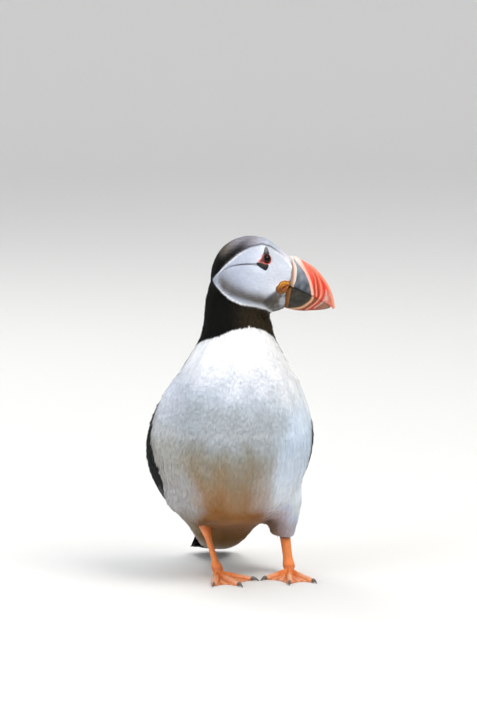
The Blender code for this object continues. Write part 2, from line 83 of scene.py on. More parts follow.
def addNode(tree, kind, links=None, **settings):
    # links hold values, sockets, or nodes which stand for their first output
    node = tree.nodes.new(kind)
    for name, value in settings.items():
        setattr(node, name, value)
    for socket, value in (links or {}).items():
        if isinstance(value, bpy.types.Node):
            value = value.outputs[0]
        if isinstance(value, bpy.types.NodeSocket):
            tree.links.new(value, node.inputs[socket])
        else:
            node.inputs[socket].default_value = value
    return node


# ---- small tools for points, in millimetres


def ramp(value, low, high):
    # 0 at low and 1 at high, smooth between
    share = np.clip((value - low) / (high - low), 0.0, 1.0)
    return share * share * (3 - 2 * share)


def bell(value, width):
    return np.exp(-((value / width) ** 2))


def unit(vectors):
    return vectors / np.maximum(np.linalg.norm(vectors, axis=-1, keepdims=True), 1e-9)


def mixed(near, far, share):
    share = np.asarray(share)[..., None]
    return near * (1 - share) + far * share


def painted(colour, tone, *layers):
    # one colour over another, each as (its name, how much of it shows)
    for name, share in layers:
        colour = mixed(colour, tone[name], share)
    return colour


def mottled(colour, points, share, size, seed):
    return colour * (1 + share * ripple(points, size, seed))[:, None]


def awayFrom(places, middle, size):
    # distance from a spot, 1 at its border
    return np.linalg.norm((places - middle) / size, axis=1)


def ripple(points, size, seed):
    # soft irregular waves about `size` millimetres long, from -1 to 1
    chance = np.random.default_rng(seed)
    total = np.zeros(len(points))
    for _ in range(7):
        way = unit(chance.normal(size=3)) * 2 * math.pi / (size * chance.uniform(0.7, 1.5))
        total += np.sin(points @ way + chance.uniform(0, 6.28))
    return np.clip(total / 4, -1, 1)


def along(rows, places):
    # rows of a table read on a smooth curve through all of them
    rows = np.array(rows, float)
    places = np.clip(places, 0, len(rows) - 1)
    first = np.minimum(places.astype(int), len(rows) - 2)
    u = (places - first)[:, None]
    a, b, c, d = (rows[np.clip(first + k, 0, len(rows) - 1)] for k in (-1, 0, 1, 2))
    return (2 * b + (c - a) * u + (2 * a - 5 * b + 4 * c - d) * u**2 + (3 * b - a - 3 * c + d) * u**3) / 2


def fromLine(places, line):
    # signed distance of flat places from a line of points, above zero on its left
    line = along(line, np.linspace(0, len(line) - 1, 3 * len(line) - 2))
    best = np.full(len(places), 1e9)
    signed = best.copy()
    for start, end in zip(line, line[1:]):
        run = end - start
        share = np.clip(((places - start) @ run) / (run @ run), 0, 1)
        gap = places - start - share[:, None] * run
        length = np.linalg.norm(gap, axis=1)
        closer = length < best
        best = np.where(closer, length, best)
        signed = np.where(closer, length * np.sign(run[0] * gap[:, 1] - run[1] * gap[:, 0]), signed)
    return signed


def readOut(items, field, width, kind=np.float32):
    # one field of all items as an array
    flat = np.empty(len(items) * width, kind)
    items.foreach_get(field, flat)
    return flat.reshape(-1, width) if width > 1 else flat


def pointsOf(mesh):
    return readOut(mesh.vertices, "co", 3).astype(float) / mm


def normalsOf(mesh):
    return readOut(mesh.vertex_normals, "vector", 3).astype(float)


def edgesOf(mesh):
    return readOut(mesh.edges, "vertices", 2, np.int32)


def nodePoints(node):
    return pointsOf(frame["nodes"][node].data)


def place(mesh, points):
    # puts the mesh's points at places in millimetres
    mesh.vertices.foreach_set("co", (points * mm).astype(np.float32).ravel())
    mesh.update()


def store(mesh, name, values, kind="FLOAT"):
    field = {"FLOAT": "value", "FLOAT_VECTOR": "vector", "FLOAT_COLOR": "color"}[kind]
    attribute = mesh.attributes.get(name) or mesh.attributes.new(name, kind, "POINT")
    attribute.data.foreach_set(field, np.ascontiguousarray(values, np.float32).ravel())


def setMap(mesh, name, places):
    # an unwrap, with a place for every corner
    layer = mesh.uv_layers.get(name) or mesh.uv_layers.new(name=name)
    layer.data.foreach_set("uv", np.ascontiguousarray(places, np.float32).ravel())


def tint(mesh, colour):
    store(mesh, "tint", np.column_stack([np.clip(colour, 0, 1), np.ones(len(colour))]), "FLOAT_COLOR")


def neighbourMean(points, edges):
    # for every point, the mean of those it shares an edge with
    one, other = edges.T
    total = [
        np.bincount(one, points[other, k], len(points)) + np.bincount(other, points[one, k], len(points))
        for k in range(points.shape[1])
    ]
    return np.column_stack(total) / np.bincount(edges.ravel(), minlength=len(points))[:, None]


def smoothed(points, edges, steps, share=1.0):
    # each pass relaxes the points, then pushes them back out, so that the form doesn't shrink
    for _ in range(steps):
        for pull in (0.5, -0.51):
            points = points + (neighbourMean(points, edges) - points) * pull * share
    return points


def addObject(name, data):
    made = bpy.data.objects.new(name, data)
    bpy.context.scene.collection.objects.link(made)
    return made


def meshOf(name, points, faces, scale=mm):
    mesh = bpy.data.meshes.new(name)
    mesh.from_pydata((np.asarray(points) * scale).tolist(), [], faces)
    return mesh


def meshFrom(shape, name):
    mesh = bpy.data.meshes.new(name)
    shape.to_mesh(mesh)
    shape.free()
    return mesh


def ringFaces(rings, count, joined=False):
    # faces between rings of points, and if joined also from the last ring to the first
    return [
        (i * count + j, i * count + (j + 1) % count, n * count + (j + 1) % count, n * count + j)
        for i, n in zip(range(rings), [*range(1, rings), 0] if joined else range(1, rings))
        for j in range(count)
    ]


def loftMesh(name, grid, colour, joined=False):
    # rings of points, joined into a hoop or capped at both ends
    rings, count = grid.shape[:2]
    faces = ringFaces(rings, count, joined)
    if not joined:
        faces += [tuple(range(count))[::-1], tuple(range((rings - 1) * count, rings * count))]
    shape = bmesh.new()
    shape.from_mesh(meshOf(name, grid.reshape(-1, 3), faces))
    bmesh.ops.recalc_face_normals(shape, faces=shape.faces)
    mesh = meshFrom(shape, name)
    tint(mesh, colour)
    return mesh


def settled(holder, name):
    # the object's evaluated shape as a plain mesh, and the holder removed
    graph = bpy.context.evaluated_depsgraph_get()
    mesh = bpy.data.meshes.new_from_object(holder.evaluated_get(graph))
    mesh.name = name
    bpy.data.objects.remove(holder)
    return mesh


def copyOf(*nodes):
    shape = bmesh.new()
    for node in nodes:
        shape.from_mesh(frame["nodes"][node].data)
    bmesh.ops.remove_doubles(shape, verts=shape.verts, dist=0.01 * mm)
    shape.normal_update()
    return shape


def addBall(shape, middle, size, radius=1.0):
    ball = bmesh.ops.create_uvsphere(shape, u_segments=20, v_segments=12, radius=radius * mm)["verts"]
    bmesh.ops.scale(shape, vec=size, verts=ball)
    bmesh.ops.translate(shape, vec=Vector(middle) * mm, verts=ball)


def fused(name, shape, voxel, grow):
    # overlapping closed forms grown a little and melted into one skin
    shape.normal_update()
    for vertex in shape.verts:
        vertex.co += vertex.normal * grow * mm
    holder = addObject(name, meshFrom(shape, name))
    melt = holder.modifiers.new("melt", "REMESH")
    melt.mode = "VOXEL"
    melt.voxel_size = voxel * mm
    return settled(holder, name)


def finishPiece(name, mesh, material, slot, *nodes):
    if material:
        mesh.materials.clear()
        mesh.materials.append(material)
    mesh.shade_smooth()
    piece = addObject(name, mesh)
    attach(piece, "root")
    if nodes:
        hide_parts(*nodes)
    print(name, len(mesh.polygons), "faces")
    return piece


# ---- the head's own directions, from the two eyes


def middleOf(node):
    low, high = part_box(node)
    return (np.array(low) + np.array(high)) / 2 / mm


eyesFromMiddle = (12.5, 9.7)  # ahead and up, from the head's middle to the eyes
headLeft = unit((middleOf("eye_left") - middleOf("eye_right")) * (1, 1, 0))
headAhead = np.cross(headLeft, up)
headWays = np.array([headAhead, headLeft, up])
headMiddle = (middleOf("eye_left") + middleOf("eye_right")) / 2
headMiddle -= headAhead * eyesFromMiddle[0] + up * eyesFromMiddle[1]


def inHead(points):
    return (points - headMiddle) @ headWays.T


def fromHead(places):
    return headMiddle + places @ headWays


# ---- level slices of the body, which say how far round it a point lies


def sliceBody():
    shape = copyOf("neck", "trunk", "tail")
    ends = np.array([[vertex.co[:] for vertex in edge.verts] for edge in shape.edges]) / mm
    shape.free()
    rows = []
    for level in np.arange(4.0, 190.0, 3.0):
        crossing = (ends[:, 0, 2] - level) * (ends[:, 1, 2] - level) < 0
        start, end = ends[crossing, 0], ends[crossing, 1]
        share = ((level - start[:, 2]) / (end[:, 2] - start[:, 2]))[:, None]
        cut = start + (end - start) * share
        low, high = cut.min(0), cut.max(0)
        rows.append((level, *((low + high) / 2)[:2], *((high - low) / 2)[:2]))
    return np.array(rows)


slices = sliceBody()


def sliceAt(levels):
    # the middle's two places, and the half width and half depth
    return [np.interp(levels, slices[:, 0], slices[:, k]) for k in (1, 2, 3, 4)]


def bodyAngle(points):
    # 0 on the breast line, 180 on the back, and above zero on the bird's left
    middleX, middleY, half, reach = sliceAt(points[:, 2])
    return np.degrees(np.arctan2((points[:, 0] - middleX) / half, -(points[:, 1] - middleY) / reach))


# ---- markings of skin and plumage

plumage = {
    "black": "#0b0b08",
    "blackCool": "#0a0c0e",
    "wornTip": "#33312e",
    "vaneFringe": "#443e38",
    "neckBrownLit": "#332a1c",
    "white": "#fbfcfd",
    "softGrey": "#8a857c",
    "ventPale": "#c9c2b6",
    "innerThigh": "#6e5540",
    "faceRear": "#bec5d5",
    "faceFront": "#e0e5f0",
    "cheekGrey": "#5a544b",
    "creaseGrey": "#3c3b40",
    "crownRear": "#675e57",
    "crown": "#a29ea8",
    "crownLight": "#d0d6e2",
    "forehead": "#efedf7",
    "throatGrey": "#4a453a",
}
# plumage of the underside: height, then colour on the bird's right flank, in the middle and on its left flank;
# the right flank's greys and the darkening towards the bottom are painted shade, and the middle's tan is partly
# stain and partly painted shade
underside = [
    (22, "#8d8069", "#75500f", "#a9a4a0"),
    (33, "#a39a8c", "#80520f", "#d6dbea"),
    (45, "#b0aeae", "#946126", "#dde8fd"),
    (57, "#afacaa", "#a3815f", "#edf5ff"),
    (71, "#b1afa9", "#9c8a71", "#e8f2ff"),
    (84, "#b6b6b0", "#9c998e", "#d8e3f1"),
    (97, "#c2c6ca", "#abb0b4", "#cad9e9"),
    (110, "#d2d8e1", "#adb4b9", "#dfedfd"),
    (122, "#e6ebf6", "#c3cbd5", "#eef4fb"),
    (134, "#f8fafe", "#e4e7ed", "#fbfdff"),
    (146, "#fafbfc", "#fbfcfd", "#fdfdfe"),
]
# height, then how far left of the midline the middle colour gives way to the right and to the left flank's
undersideEdges = [(35, -26, 27), (42, -25, 24), (48, -24, 16), (58, -25.5, 11), (71, -32, 10), (84, -39, 11)]
undersideEdges += [(110, -38, 17), (134, -36, 24)]
# brown between belly and legs, partly stain and partly painted shade: middle, size and strength
undersideStainsAndShade = [
    ((14, -46, 44), (7, 14, 5), 0.2),
    ((21, -36, 33), (8, 18, 8), 0.7),
    ((-22, -34, 40), (7, 9, 6), 0.55),
]
# head coordinates are (ahead, up) in millimetres from the head's middle
faceTop = [(-26, -3.4), (-22.4, -3.0), (-20.3, -1.6), (-17.3, 1.5), (-14.6, 4.7), (-11.3, 8.0), (-4.7, 13.4)]
faceTop += [(-1.0, 15.6), (3.2, 17.4), (10.2, 18.5), (15.4, 16.9), (22.7, 11.9), (27.3, 6.8), (29.5, 3.0)]
faceLow = [(-26, -4.0), (-23.0, -3.6), (-19.4, -7.2), (-15, -11.9), (-9.6, -16.2), (-2.6, -19.3)]
faceLow += [(6.4, -20.8), (12.8, -22.7), (16.9, -25.9), (18.5, -34)]
eyeLine = [(7.4, 6.8), (2.1, 7.1), (-2.9, 6.9), (-8.0, 6.1), (-11.5, 4.8), (-14.0, 3.3), (-17.5, 0.0)]
greyBand = [(-17.0, -4.6), (-14.3, -7.1), (-9.8, -10.2), (-4.8, -12.5), (0.9, -14.4), (6.6, -15.9)]
greyBand += [(12.2, -17.5), (17, -18)]
throatEdge = [(19.2, -11.6), (15.6, -14.2), (12.2, -17.4)]
# height, and the angle round the body on its left and on its right where white gives way to black
flankLine = [(4, 70, 70), (12, 92, 92), (20, 102, 102), (30, 112, 112), (45, 100, 100), (57, 86, 88)]
flankLine += [(66, 77, 86), (74, 71, 86), (80, 68, 88), (87, 70, 91), (94, 78, 95), (103, 93, 101)]
flankLine += [(112, 99, 106), (120, 97, 109), (137, 88, 110), (146, 81, 108), (152, 73, 104), (154, 67, 99)]
flankLine += [(157, 59, 76), (160.5, 43, 48), (164.3, 22, 24), (165.6, 0, 0)]
bibTop = 165.9  # height of the white breast's upper end


def lineHeight(line, ahead):
    return np.interp(ahead, *np.array(line).T)


def faceDepth(head):
    # how far inside the white of the face a place lies, in millimetres
    ahead, aside, height = head[:, 0], np.abs(head[:, 1]), head[:, 2]
    nape = aside - 4.0 + (ahead + 20) * 1.3
    # the white of each side runs out to a point on the nape
    pinch = 3.2 * ramp(aside, 12, 4) * ramp(ahead, -8, -14)
    within = np.minimum(lineHeight(faceTop, ahead) - height, height - lineHeight(faceLow, ahead))
    return np.minimum(within * 0.8 - pinch, nape)


def whiteDepth(points):
    # how far inside the white of the breast and belly a point lies, in millimetres
    level = points[:, 2]
    angle = bodyAngle(points) - 7 * ramp(level, 148, 160)
    levels, onLeft, onRight = np.array(flankLine).T
    edge = np.where(angle > 0, np.interp(level, levels, onLeft), np.interp(level, levels, onRight))
    depth = (edge - np.abs(angle) + ripple(points, 9, 3) * 2.0) * math.pi / 180 * sliceAt(level)[2]
    return np.where(level > 160, np.minimum(depth, (bibTop - level) * 0.8), depth)


def undersideColour(points, fine, broad):
    level = points[:, 2]
    aside = points[:, 0] - sliceAt(level)[0] + 3 * broad
    patchy = 4 * broad + 2 * ripple(points * (1, 1, 0.4), 5, 13) + 0.14 * aside
    heights, rightEdge, leftEdge = np.array(undersideEdges).T
    rearward = ramp(points[:, 1], -22, -4)  # behind the legs only the underside takes the tan stain and painted shade
    rightEdge = np.interp(level, heights, rightEdge) * (1 - rearward) - 20 * rearward
    leftEdge = np.interp(level, heights, leftEdge) * (1 - rearward) + 24 * rearward
    toRight = ramp(rightEdge - aside, -4, 4 + level * 0.05)
    # on the left the tan stain and painted shade give way in two steps, with a fold of half-strength painted
    # shade between them
    beyond = aside - leftEdge + 1.5 * fine
    toLeft = ramp(beyond, -3 - level * 0.06, 5 + level * 0.11) ** 1.5
    inFold = 0.5 * ramp(beyond, -13, 7) + 0.5 * ramp(beyond, 4, 16)
    toLeft = toLeft + (inFold - toLeft) * ramp(level, 100, 60)
    heights, *columns = zip(*underside)
    shades = []
    for column in columns:
        channels = np.array([toLinear(code) for code in column]).T
        shades.append(np.column_stack([np.interp(level + patchy, heights, channel) for channel in channels]))
    right, middle, left = shades
    colour = mixed(mixed(middle, right, toRight), left, toLeft)
    # the vent pales again towards the tail
    behind = ramp(points[:, 1], 12, 46) * ramp(level, 60, 45)
    colour = mixed(colour, toLinear(plumage["ventPale"]), behind * 0.8)
    # brown between belly and legs: partly stain, partly painted shade
    for spot, size, share in undersideStainsAndShade:
        stainAndShade = ramp(awayFrom(points, spot, size) + 0.16 * broad, 1.25, 0.7) * share * (0.8 + 0.2 * fine)
        colour = mixed(colour, toLinear(plumage["innerThigh"]), np.clip(stainAndShade, 0, 1))
    # painted shade in the crease between belly and left leg, and in streaks between the ruffled feathers above
    # it
    crease = ramp(awayFrom(points, (20.5, -30, 36), (2.8, 9, 3.2)), 1.4, 0.4)
    ruffled = ramp(awayFrom(points, (20, -46, 47), (9, 20, 13)), 1.2, 0.5)
    slanting = points @ np.array([[1, 0, 0], [0, 0.4, 0], [-0.5, 0, 0.4]])
    ruffled = ruffled * ramp(ripple(slanting, 2.1, 14), 0.0, 0.8)
    return colour * ((1 - 0.5 * crease - 0.3 * ruffled) * (1 + 0.045 * fine + 0.025 * broad))[:, None]


def crownColour(points, head, tone):
    ahead, height = head[:, 0], head[:, 2]
    crown = painted(
        tone["black"],
        tone,
        ("crownRear", ramp(ahead + height * 0.7, -12, -1)),
        ("crown", ramp(ahead + height * 0.3, -9, 4)),
        ("crownLight", ramp(ahead, 3, 15)),
        ("forehead", ramp(ahead, 17, 24)),
    )
    mottle = ripple(points, 1.5, 21) + 0.6 * ripple(points, 3.2, 22)
    crown = crown * (1 + 0.2 * mottle * ramp(ahead, 18, 0))[:, None]
    # darkest beside the face, with a fine dark line along it further ahead
    depth = faceDepth(head)
    beside = ramp(-depth, 7.4, 0.8) * ramp(ahead, 6, -7)
    edgeDark = ramp(np.abs(depth + 0.5), 0.65, 0.15) * ramp(height, -1, 6) * ramp(ahead, 26, 15)
    return painted(crown, tone, ("black", (1 - (1 - beside) ** 2) * 0.97), ("creaseGrey", edgeDark * 0.65))


def faceColour(points, head, tone):
    ahead, height, flat = head[:, 0], head[:, 2], head[:, [0, 2]]
    face = mixed(tone["faceRear"], tone["faceFront"], ramp(ahead, -8, 20))
    face = face * (0.97 + 0.035 * ripple(points * (1, 1, 3), 6, 31))[:, None]
    # a grey band along the cheek's lower edge, hazy above
    gap = fromLine(flat, greyBand)
    haze = 0.35 * ramp(ahead, 3, -8)
    above = (1 - haze) * bell(gap, 4.0) + haze * bell(gap, 8.5)
    band = np.where(gap > 0, above, bell(gap, 2.3)) * ramp(ahead, -20, -14)
    streaks = 0.82 + 0.12 * ripple(points * (1, 1, 4), 5, 32)
    band = np.clip(band * streaks * (0.85 + 0.15 * ramp(ahead, 2, 8)), 0, 1)
    # the throat is grey behind a dark edge, palest beside the bill
    wedge = fromLine(flat, throatEdge)
    throat = ramp(wedge, -0.2, 1.2) * ramp(height, -10.5, -14.5) * ramp(ahead, 10, 14)
    throat = throat * (0.86 + 0.2 * ripple(points * (1, 1, 0.5), 3.5, 33))
    paler = ramp(awayFrom(flat, (22.9, -17.4), (2.6, 3.2)), 1.3, 0.4)
    # painted shadow just under the rosette
    shadowUnderRosette = ramp(awayFrom(flat, (20.4, -13.8), (3.4, 1.7)), 1.3, 0.5)
    # the crease behind the eye, and the bright rim of the white
    thin = 0.55 + 0.25 * ramp(ahead, -14, 4)
    crease = ramp(np.abs(fromLine(flat, eyeLine)), thin, 0.15) * (0.35 + 0.6 * ramp(ahead, -17, -2))
    low = ramp(height, -8, -14)
    rimLight = ramp(faceDepth(head), 1.4 + 0.5 * low, 0.4) * ramp(height, 17, 12) * ramp(ahead, -20.5, -16.5)
    return painted(
        face,
        tone,
        ("cheekGrey", 1 - (1 - band) ** 2),
        ("creaseGrey", ramp(np.abs(wedge), 2.5, 0.4) * 0.86),
        ("throatGrey", throat * (1 - 0.56 * paler)),
        ("cheekGrey", throat * shadowUnderRosette * 0.75),
        ("cheekGrey", 0.45 * ramp(ahead, -17.5, -21.5)),
        ("creaseGrey", crease),
        ("white", rimLight * (0.7 + 0.2 * low)),
    )


def colourAt(points):
    tone = tonesOf(plumage)
    head = inHead(points)
    level = points[:, 2]
    fine = ripple(points * (1, 1, 0.14), 1.6, 11)
    depth = whiteDepth(points)
    # painted shade: grey on the white flank just inside its edge with the wing, at mid height
    edgeShade = ramp(depth, 9, 0) * ramp(level, 55, 68) * ramp(level, 128, 104) * (0.6 + 0.35 * fine)
    under = undersideColour(points, fine, ripple(points * (1, 1, 0.5), 14, 12))
    under = mixed(under, tone["softGrey"], np.clip(edgeShade, 0, 1))
    # black of the back, wings, tail and neck; brown at the throat's side, partly the feathers' own brown and
    # partly painted light on the neck's front
    throatSide = ramp(head[:, 0], -12, 4) * ramp(level, 150, 162)
    dark = painted(
        tone["black"],
        tone,
        ("blackCool", ramp(level, 150, 120)),
        ("neckBrownLit", throatSide * (0.75 + 0.25 * fine)),
    )
    body = mixed(dark, under, ramp(depth + fine * 0.5, -0.5, 0.5))
    inFace = ramp(faceDepth(head), -0.3, 0.3) * ramp(level, 166, 170)
    onHead = np.where(head[:, 2] > lineHeight(faceLow, head[:, 0]), 1.0, 0.0)
    onHead = onHead * ramp(head[:, 0] + head[:, 2], -19, -15)
    upper = mixed(body, crownColour(points, head, tone), onHead * (1 - inFace))
    return np.clip(mixed(upper, faceColour(points, head, tone), inFace), 0, 1)


# ---- the skin: every node of flesh melted into one form

skinSizes = {
    "voxel": 1.15,
    "grow": 0.45,
    "legVoxel": 0.42,
    "legGrow": 0.35,
    "smoothing": 14,
    "legSmoothing": (7, 30),  # all over, then between ankle and toes
    "filling": 60,
    "socket": (3.1, 4.8),  # the flesh an eyeball sits in: how far behind the eye's middle, and its radius
    "ankle": (4.6, (1.0, 1.05, 0.75), 3.7),  # height, form and radius
    # soft fillings between belly, flank and thighs: middle and size
    "fillers": [
        ((27.5, -17, 35.5), (6, 8.5, 10)),
        ((-25, -30, 41), (5, 10, 5.5)),
        ((34.3, -18, 60), (9.2, 16, 15)),
    ],
    "waist": {"left": (0.1, 0.1, 0.0), "right": (0.36, 0.15, 0.0)},  # how much the shanks narrow, each way
    "headDepth": 0.7,  # how far the coat stands over the skin
    "bodyDepth": 1.3,
    "wingDepth": 1.5,
}
fleshNodes = ["head", "neck", "trunk", "tail", "thigh_left", "thigh_right"]
wingNodes = ["wing_left", "wing_right", "wing_tip_left", "wing_tip_right"]
legNodes = ["shank_left", "shank_right", "foot_left", "foot_right"]


def treeOf(*nodes):
    shape = copyOf(*nodes)
    for vertex in shape.verts:
        vertex.co /= mm
    tree = BVHTree.FromBMesh(shape)
    shape.free()
    return tree


def distanceTo(points, *nodes):
    tree = treeOf(*nodes)
    return np.array([tree.find_nearest(Vector(spot))[3] for spot in points])


def coatDepth(points, wingGap):
    head = inHead(points)
    body, wing = skinSizes["bodyDepth"], skinSizes["wingDepth"]
    depth = body + (wing - body) * ramp(wingGap, 2.5, 0.8)
    return depth + (skinSizes["headDepth"] - depth) * ramp(head[:, 2] + 0.4 * head[:, 0], -24, -12)


def filled(mesh, points, edges):
    # creases between flank, thigh and wing are filled outwards, as loose feathers fill them
    normals = normalsOf(mesh)
    reach = ramp(points[:, 2], 172, 160) * ramp(points[:, 1], 55, 45)
    for _ in range(skinSizes["filling"]):
        move = (neighbourMean(points, edges) - points) * 0.9
        outward = np.sum(move * normals, axis=1) > 0
        points = points + move * (outward * reach)[:, None]
    return points


def thicknessOf(mesh, points, normals):
    tree = BVHTree.FromPolygons(points.tolist(), [list(face.vertices) for face in mesh.polygons])
    inside, most = 0.3, 30.0
    gaps = [
        tree.ray_cast(Vector(spot - out * inside), Vector(-out), most)[3] for spot, out in zip(points, normals)
    ]
    return np.array([most if gap is None else gap + inside for gap in gaps])


def makeBodySkin():
    shape = copyOf(*fleshNodes, *wingNodes)
    for filler in skinSizes["fillers"]:
        addBall(shape, *filler)
    for side in sides:
        eye, (behind, radius) = middleOf("eye_" + side), skinSizes["socket"]
        addBall(shape, eye - unit(middleOf("eye_ring_" + side) - eye) * behind, (1, 1, 1), radius)
    mesh = fused("body", shape, skinSizes["voxel"], skinSizes["grow"])
    edges = edgesOf(mesh)
    points = smoothed(pointsOf(mesh), edges, skinSizes["smoothing"])
    place(mesh, points)
    points = filled(mesh, points, edges)
    place(mesh, points)
    normals = unit(smoothed(normalsOf(mesh), edges, 3))
    wingGap = distanceTo(points, *wingNodes)
    head = inHead(points)
    ahead, aside, height = head[:, 0], np.abs(head[:, 1]), head[:, 2]
    sink = coatDepth(points, wingGap) + skinSizes["grow"]
    crease = ramp(np.abs(fromLine(head[:, [0, 2]], eyeLine)), 1.6, 0.2) * (aside > 8)
    ledge = ramp(np.abs(faceDepth(head) - 1.4), 1.8, 0.2) * ramp(height, 8, 2) * ramp(points[:, 2], 172, 180)
    cheek = np.exp(-(((ahead + 1) / 11) ** 2) - ((height + 4) / 7) ** 2) * (aside > 6)
    sink = sink + crease * 0.6 - ledge * 0.45 - cheek * 0.35
    sink = sink + 1.0 * ramp(ahead, 12, 22) * ramp(height, 3, 10)
    onTail = ramp(points[:, 1], 44, 60) * ramp(points[:, 2], 30, 22)
    sink = np.minimum(sink + onTail, (0.3 + 0.1 * onTail) * thicknessOf(mesh, points, normals))
    points[:, 1] -= 3.5 * onTail * ramp(points[:, 1], 62, 84)
    # the feather edge bulges forward over the root of the bill
    bulge = 2.4 * np.clip(1 - ((height - 1.5) / 11) ** 2, 0, 1) * ramp(ahead, 21, 27)
    points = points + headAhead * bulge[:, None]
    place(mesh, smoothed(points - normals * sink[:, None], edges, 3))
    return mesh, wingGap


def shankEnd(side, way, depth):
    # the middle of the shank's last `depth` millimetres, at its upper end (way 1) or lower end (way -1)
    shank = nodePoints("shank_" + side)
    height = shank[:, 2] * way
    return shank[height > height.max() - depth].mean(axis=0)


def footJoint(side):
    # the floor under the lower end of the shank
    return shankEnd(side, -1, 0.3) * (1, 1, 0)


def onSide(points, sign):
    middle = (middleOf("foot_left")[0] + middleOf("foot_right")[0]) / 2
    return (points[:, 0] - middle) * sign > 0


def makeLegSkin():
    shape = copyOf(*legNodes)
    for side in sides:
        height, form, radius = skinSizes["ankle"]
        addBall(shape, footJoint(side) + up * height, form, radius)
    mesh = fused("legs", shape, skinSizes["legVoxel"], skinSizes["legGrow"])
    edges = edgesOf(mesh)
    points = smoothed(pointsOf(mesh), edges, skinSizes["legSmoothing"][0])
    points = points - normalsOf(mesh) * skinSizes["legGrow"]
    for side, sign in sides.items():
        # the bare shank is waisted between the feathered thigh and the ankle
        top, low = shankEnd(side, 1, 1.5), shankEnd(side, -1, 1.5)
        share = (points[:, 2] - low[2]) / (top[2] - low[2])
        axis = low + (top - low) * np.clip(share, 0, 1)[:, None]
        waist = onSide(points, sign) * ramp(points[:, 2], 6.5, 11) * (1 - 0.45 * ramp(share, 0.6, 1.0))
        points = points - (points - axis) * np.outer(waist, skinSizes["waist"][side])
    loose = ramp(points[:, 2], 1.0, 3.5) * ramp(points[:, 2], 14, 9)
    points = smoothed(points, edges, skinSizes["legSmoothing"][1], loose[:, None])
    points[:, 2] = np.maximum(points[:, 2], 0.0)
    place(mesh, points)
    return mesh


bodyMesh, wingGap = makeBodySkin()
legMesh = makeLegSkin()
print("skin melted", len(bodyMesh.polygons), "and", len(legMesh.polygons), "faces")


# ---- the lie of the feathers


def wingTable():
    # the left wing's lower and upper edge, as angles round the body, at each height
    places = np.vstack([nodePoints(node) for node in ("wing_left", "wing_tip_left")])
    angle = bodyAngle(places)
    rows = []
    for level in np.arange(22.0, 128.0, 5.0):
        near = angle[np.abs(places[:, 2] - level) < 5]
        rows.append((level, near.min(), near.max()))
    return np.array(rows)


wingRows = wingTable()
wingSlope = np.gradient(wingRows[:, 1:].mean(axis=1), wingRows[:, 0])  # degrees for each millimetre of height


def flowAt(points, normals, wingShare, thighGap):
    head = inHead(points)
    level = points[:, 2]
    thigh = ramp(thighGap, 3.0, 1.0) * ramp(level, 56, 44)
    way = -up - 0.45 * forward * (ramp(level, 75, 40) * (1 - thigh))[:, None]
    # feathers on the folded wing lie along it, round towards the back
    turnBack = -np.interp(level, wingRows[:, 0], wingSlope) * math.pi / 180 * sliceAt(level)[2]
    tangent = unit(np.cross(up, normals)) * np.sign(bodyAngle(points))[:, None]
    way = mixed(way, -up + tangent * turnBack[:, None], wingShare)
    # the head's feathers lie back from the bill, then turn down the neck
    turn = np.clip(ramp(head[:, 2], -9, -24) + ramp(head[:, 0], -8, -20) * 0.9, 0, 1)
    way = mixed(way, mixed(-headAhead, -up, turn), ramp(level, 164, 180))
    return unit(way - normals * np.sum(way * normals, axis=1)[:, None])


bodyPoints = pointsOf(bodyMesh)
bodyNormals = normalsOf(bodyMesh)
wingShare = ramp(wingGap, 2.0, 1.0) * ramp(bodyPoints[:, 2], 136, 120)
thighGap = distanceTo(bodyPoints, "thigh_left", "thigh_right")
flow = unit(smoothed(flowAt(bodyPoints, bodyNormals, wingShare, thighGap), edgesOf(bodyMesh), 4))
store(bodyMesh, "flow", flow, "FLOAT_VECTOR")
store(bodyMesh, "skinNormal", bodyNormals, "FLOAT_VECTOR")
tint(bodyMesh, colourAt(bodyPoints))


# ---- legs: toes, webs and scales

legLook = {
    "orange": "#f28d48",
    "light": "#ffc49f",
    "web": "#f59d68",
    "seam": "#b5511f",
    "joint": "#d36c34",
    "toeWidth": 2.3,
    "wrinkle": 0.16,
}
toes = ("outer", "middle", "inner")


def footPlaces(points, side):
    # distance from the ankle, distance from the nearest toe's line, and the place across the web
    joint = footJoint(side)
    flat = (points - joint) * (1, 1, 0)
    ways = [unit(middleOf(f"claw_{side}_{toe}") * (1, 1, 0) - joint) for toe in toes]
    gaps = [np.linalg.norm(flat - np.maximum(flat @ way, 0)[:, None] * way, axis=1) for way in ways]
    turn = np.degrees(np.arctan2(np.cross(ways[1], flat)[:, 2], flat @ ways[1]))
    return np.linalg.norm(flat, axis=1), np.min(gaps, axis=0), turn


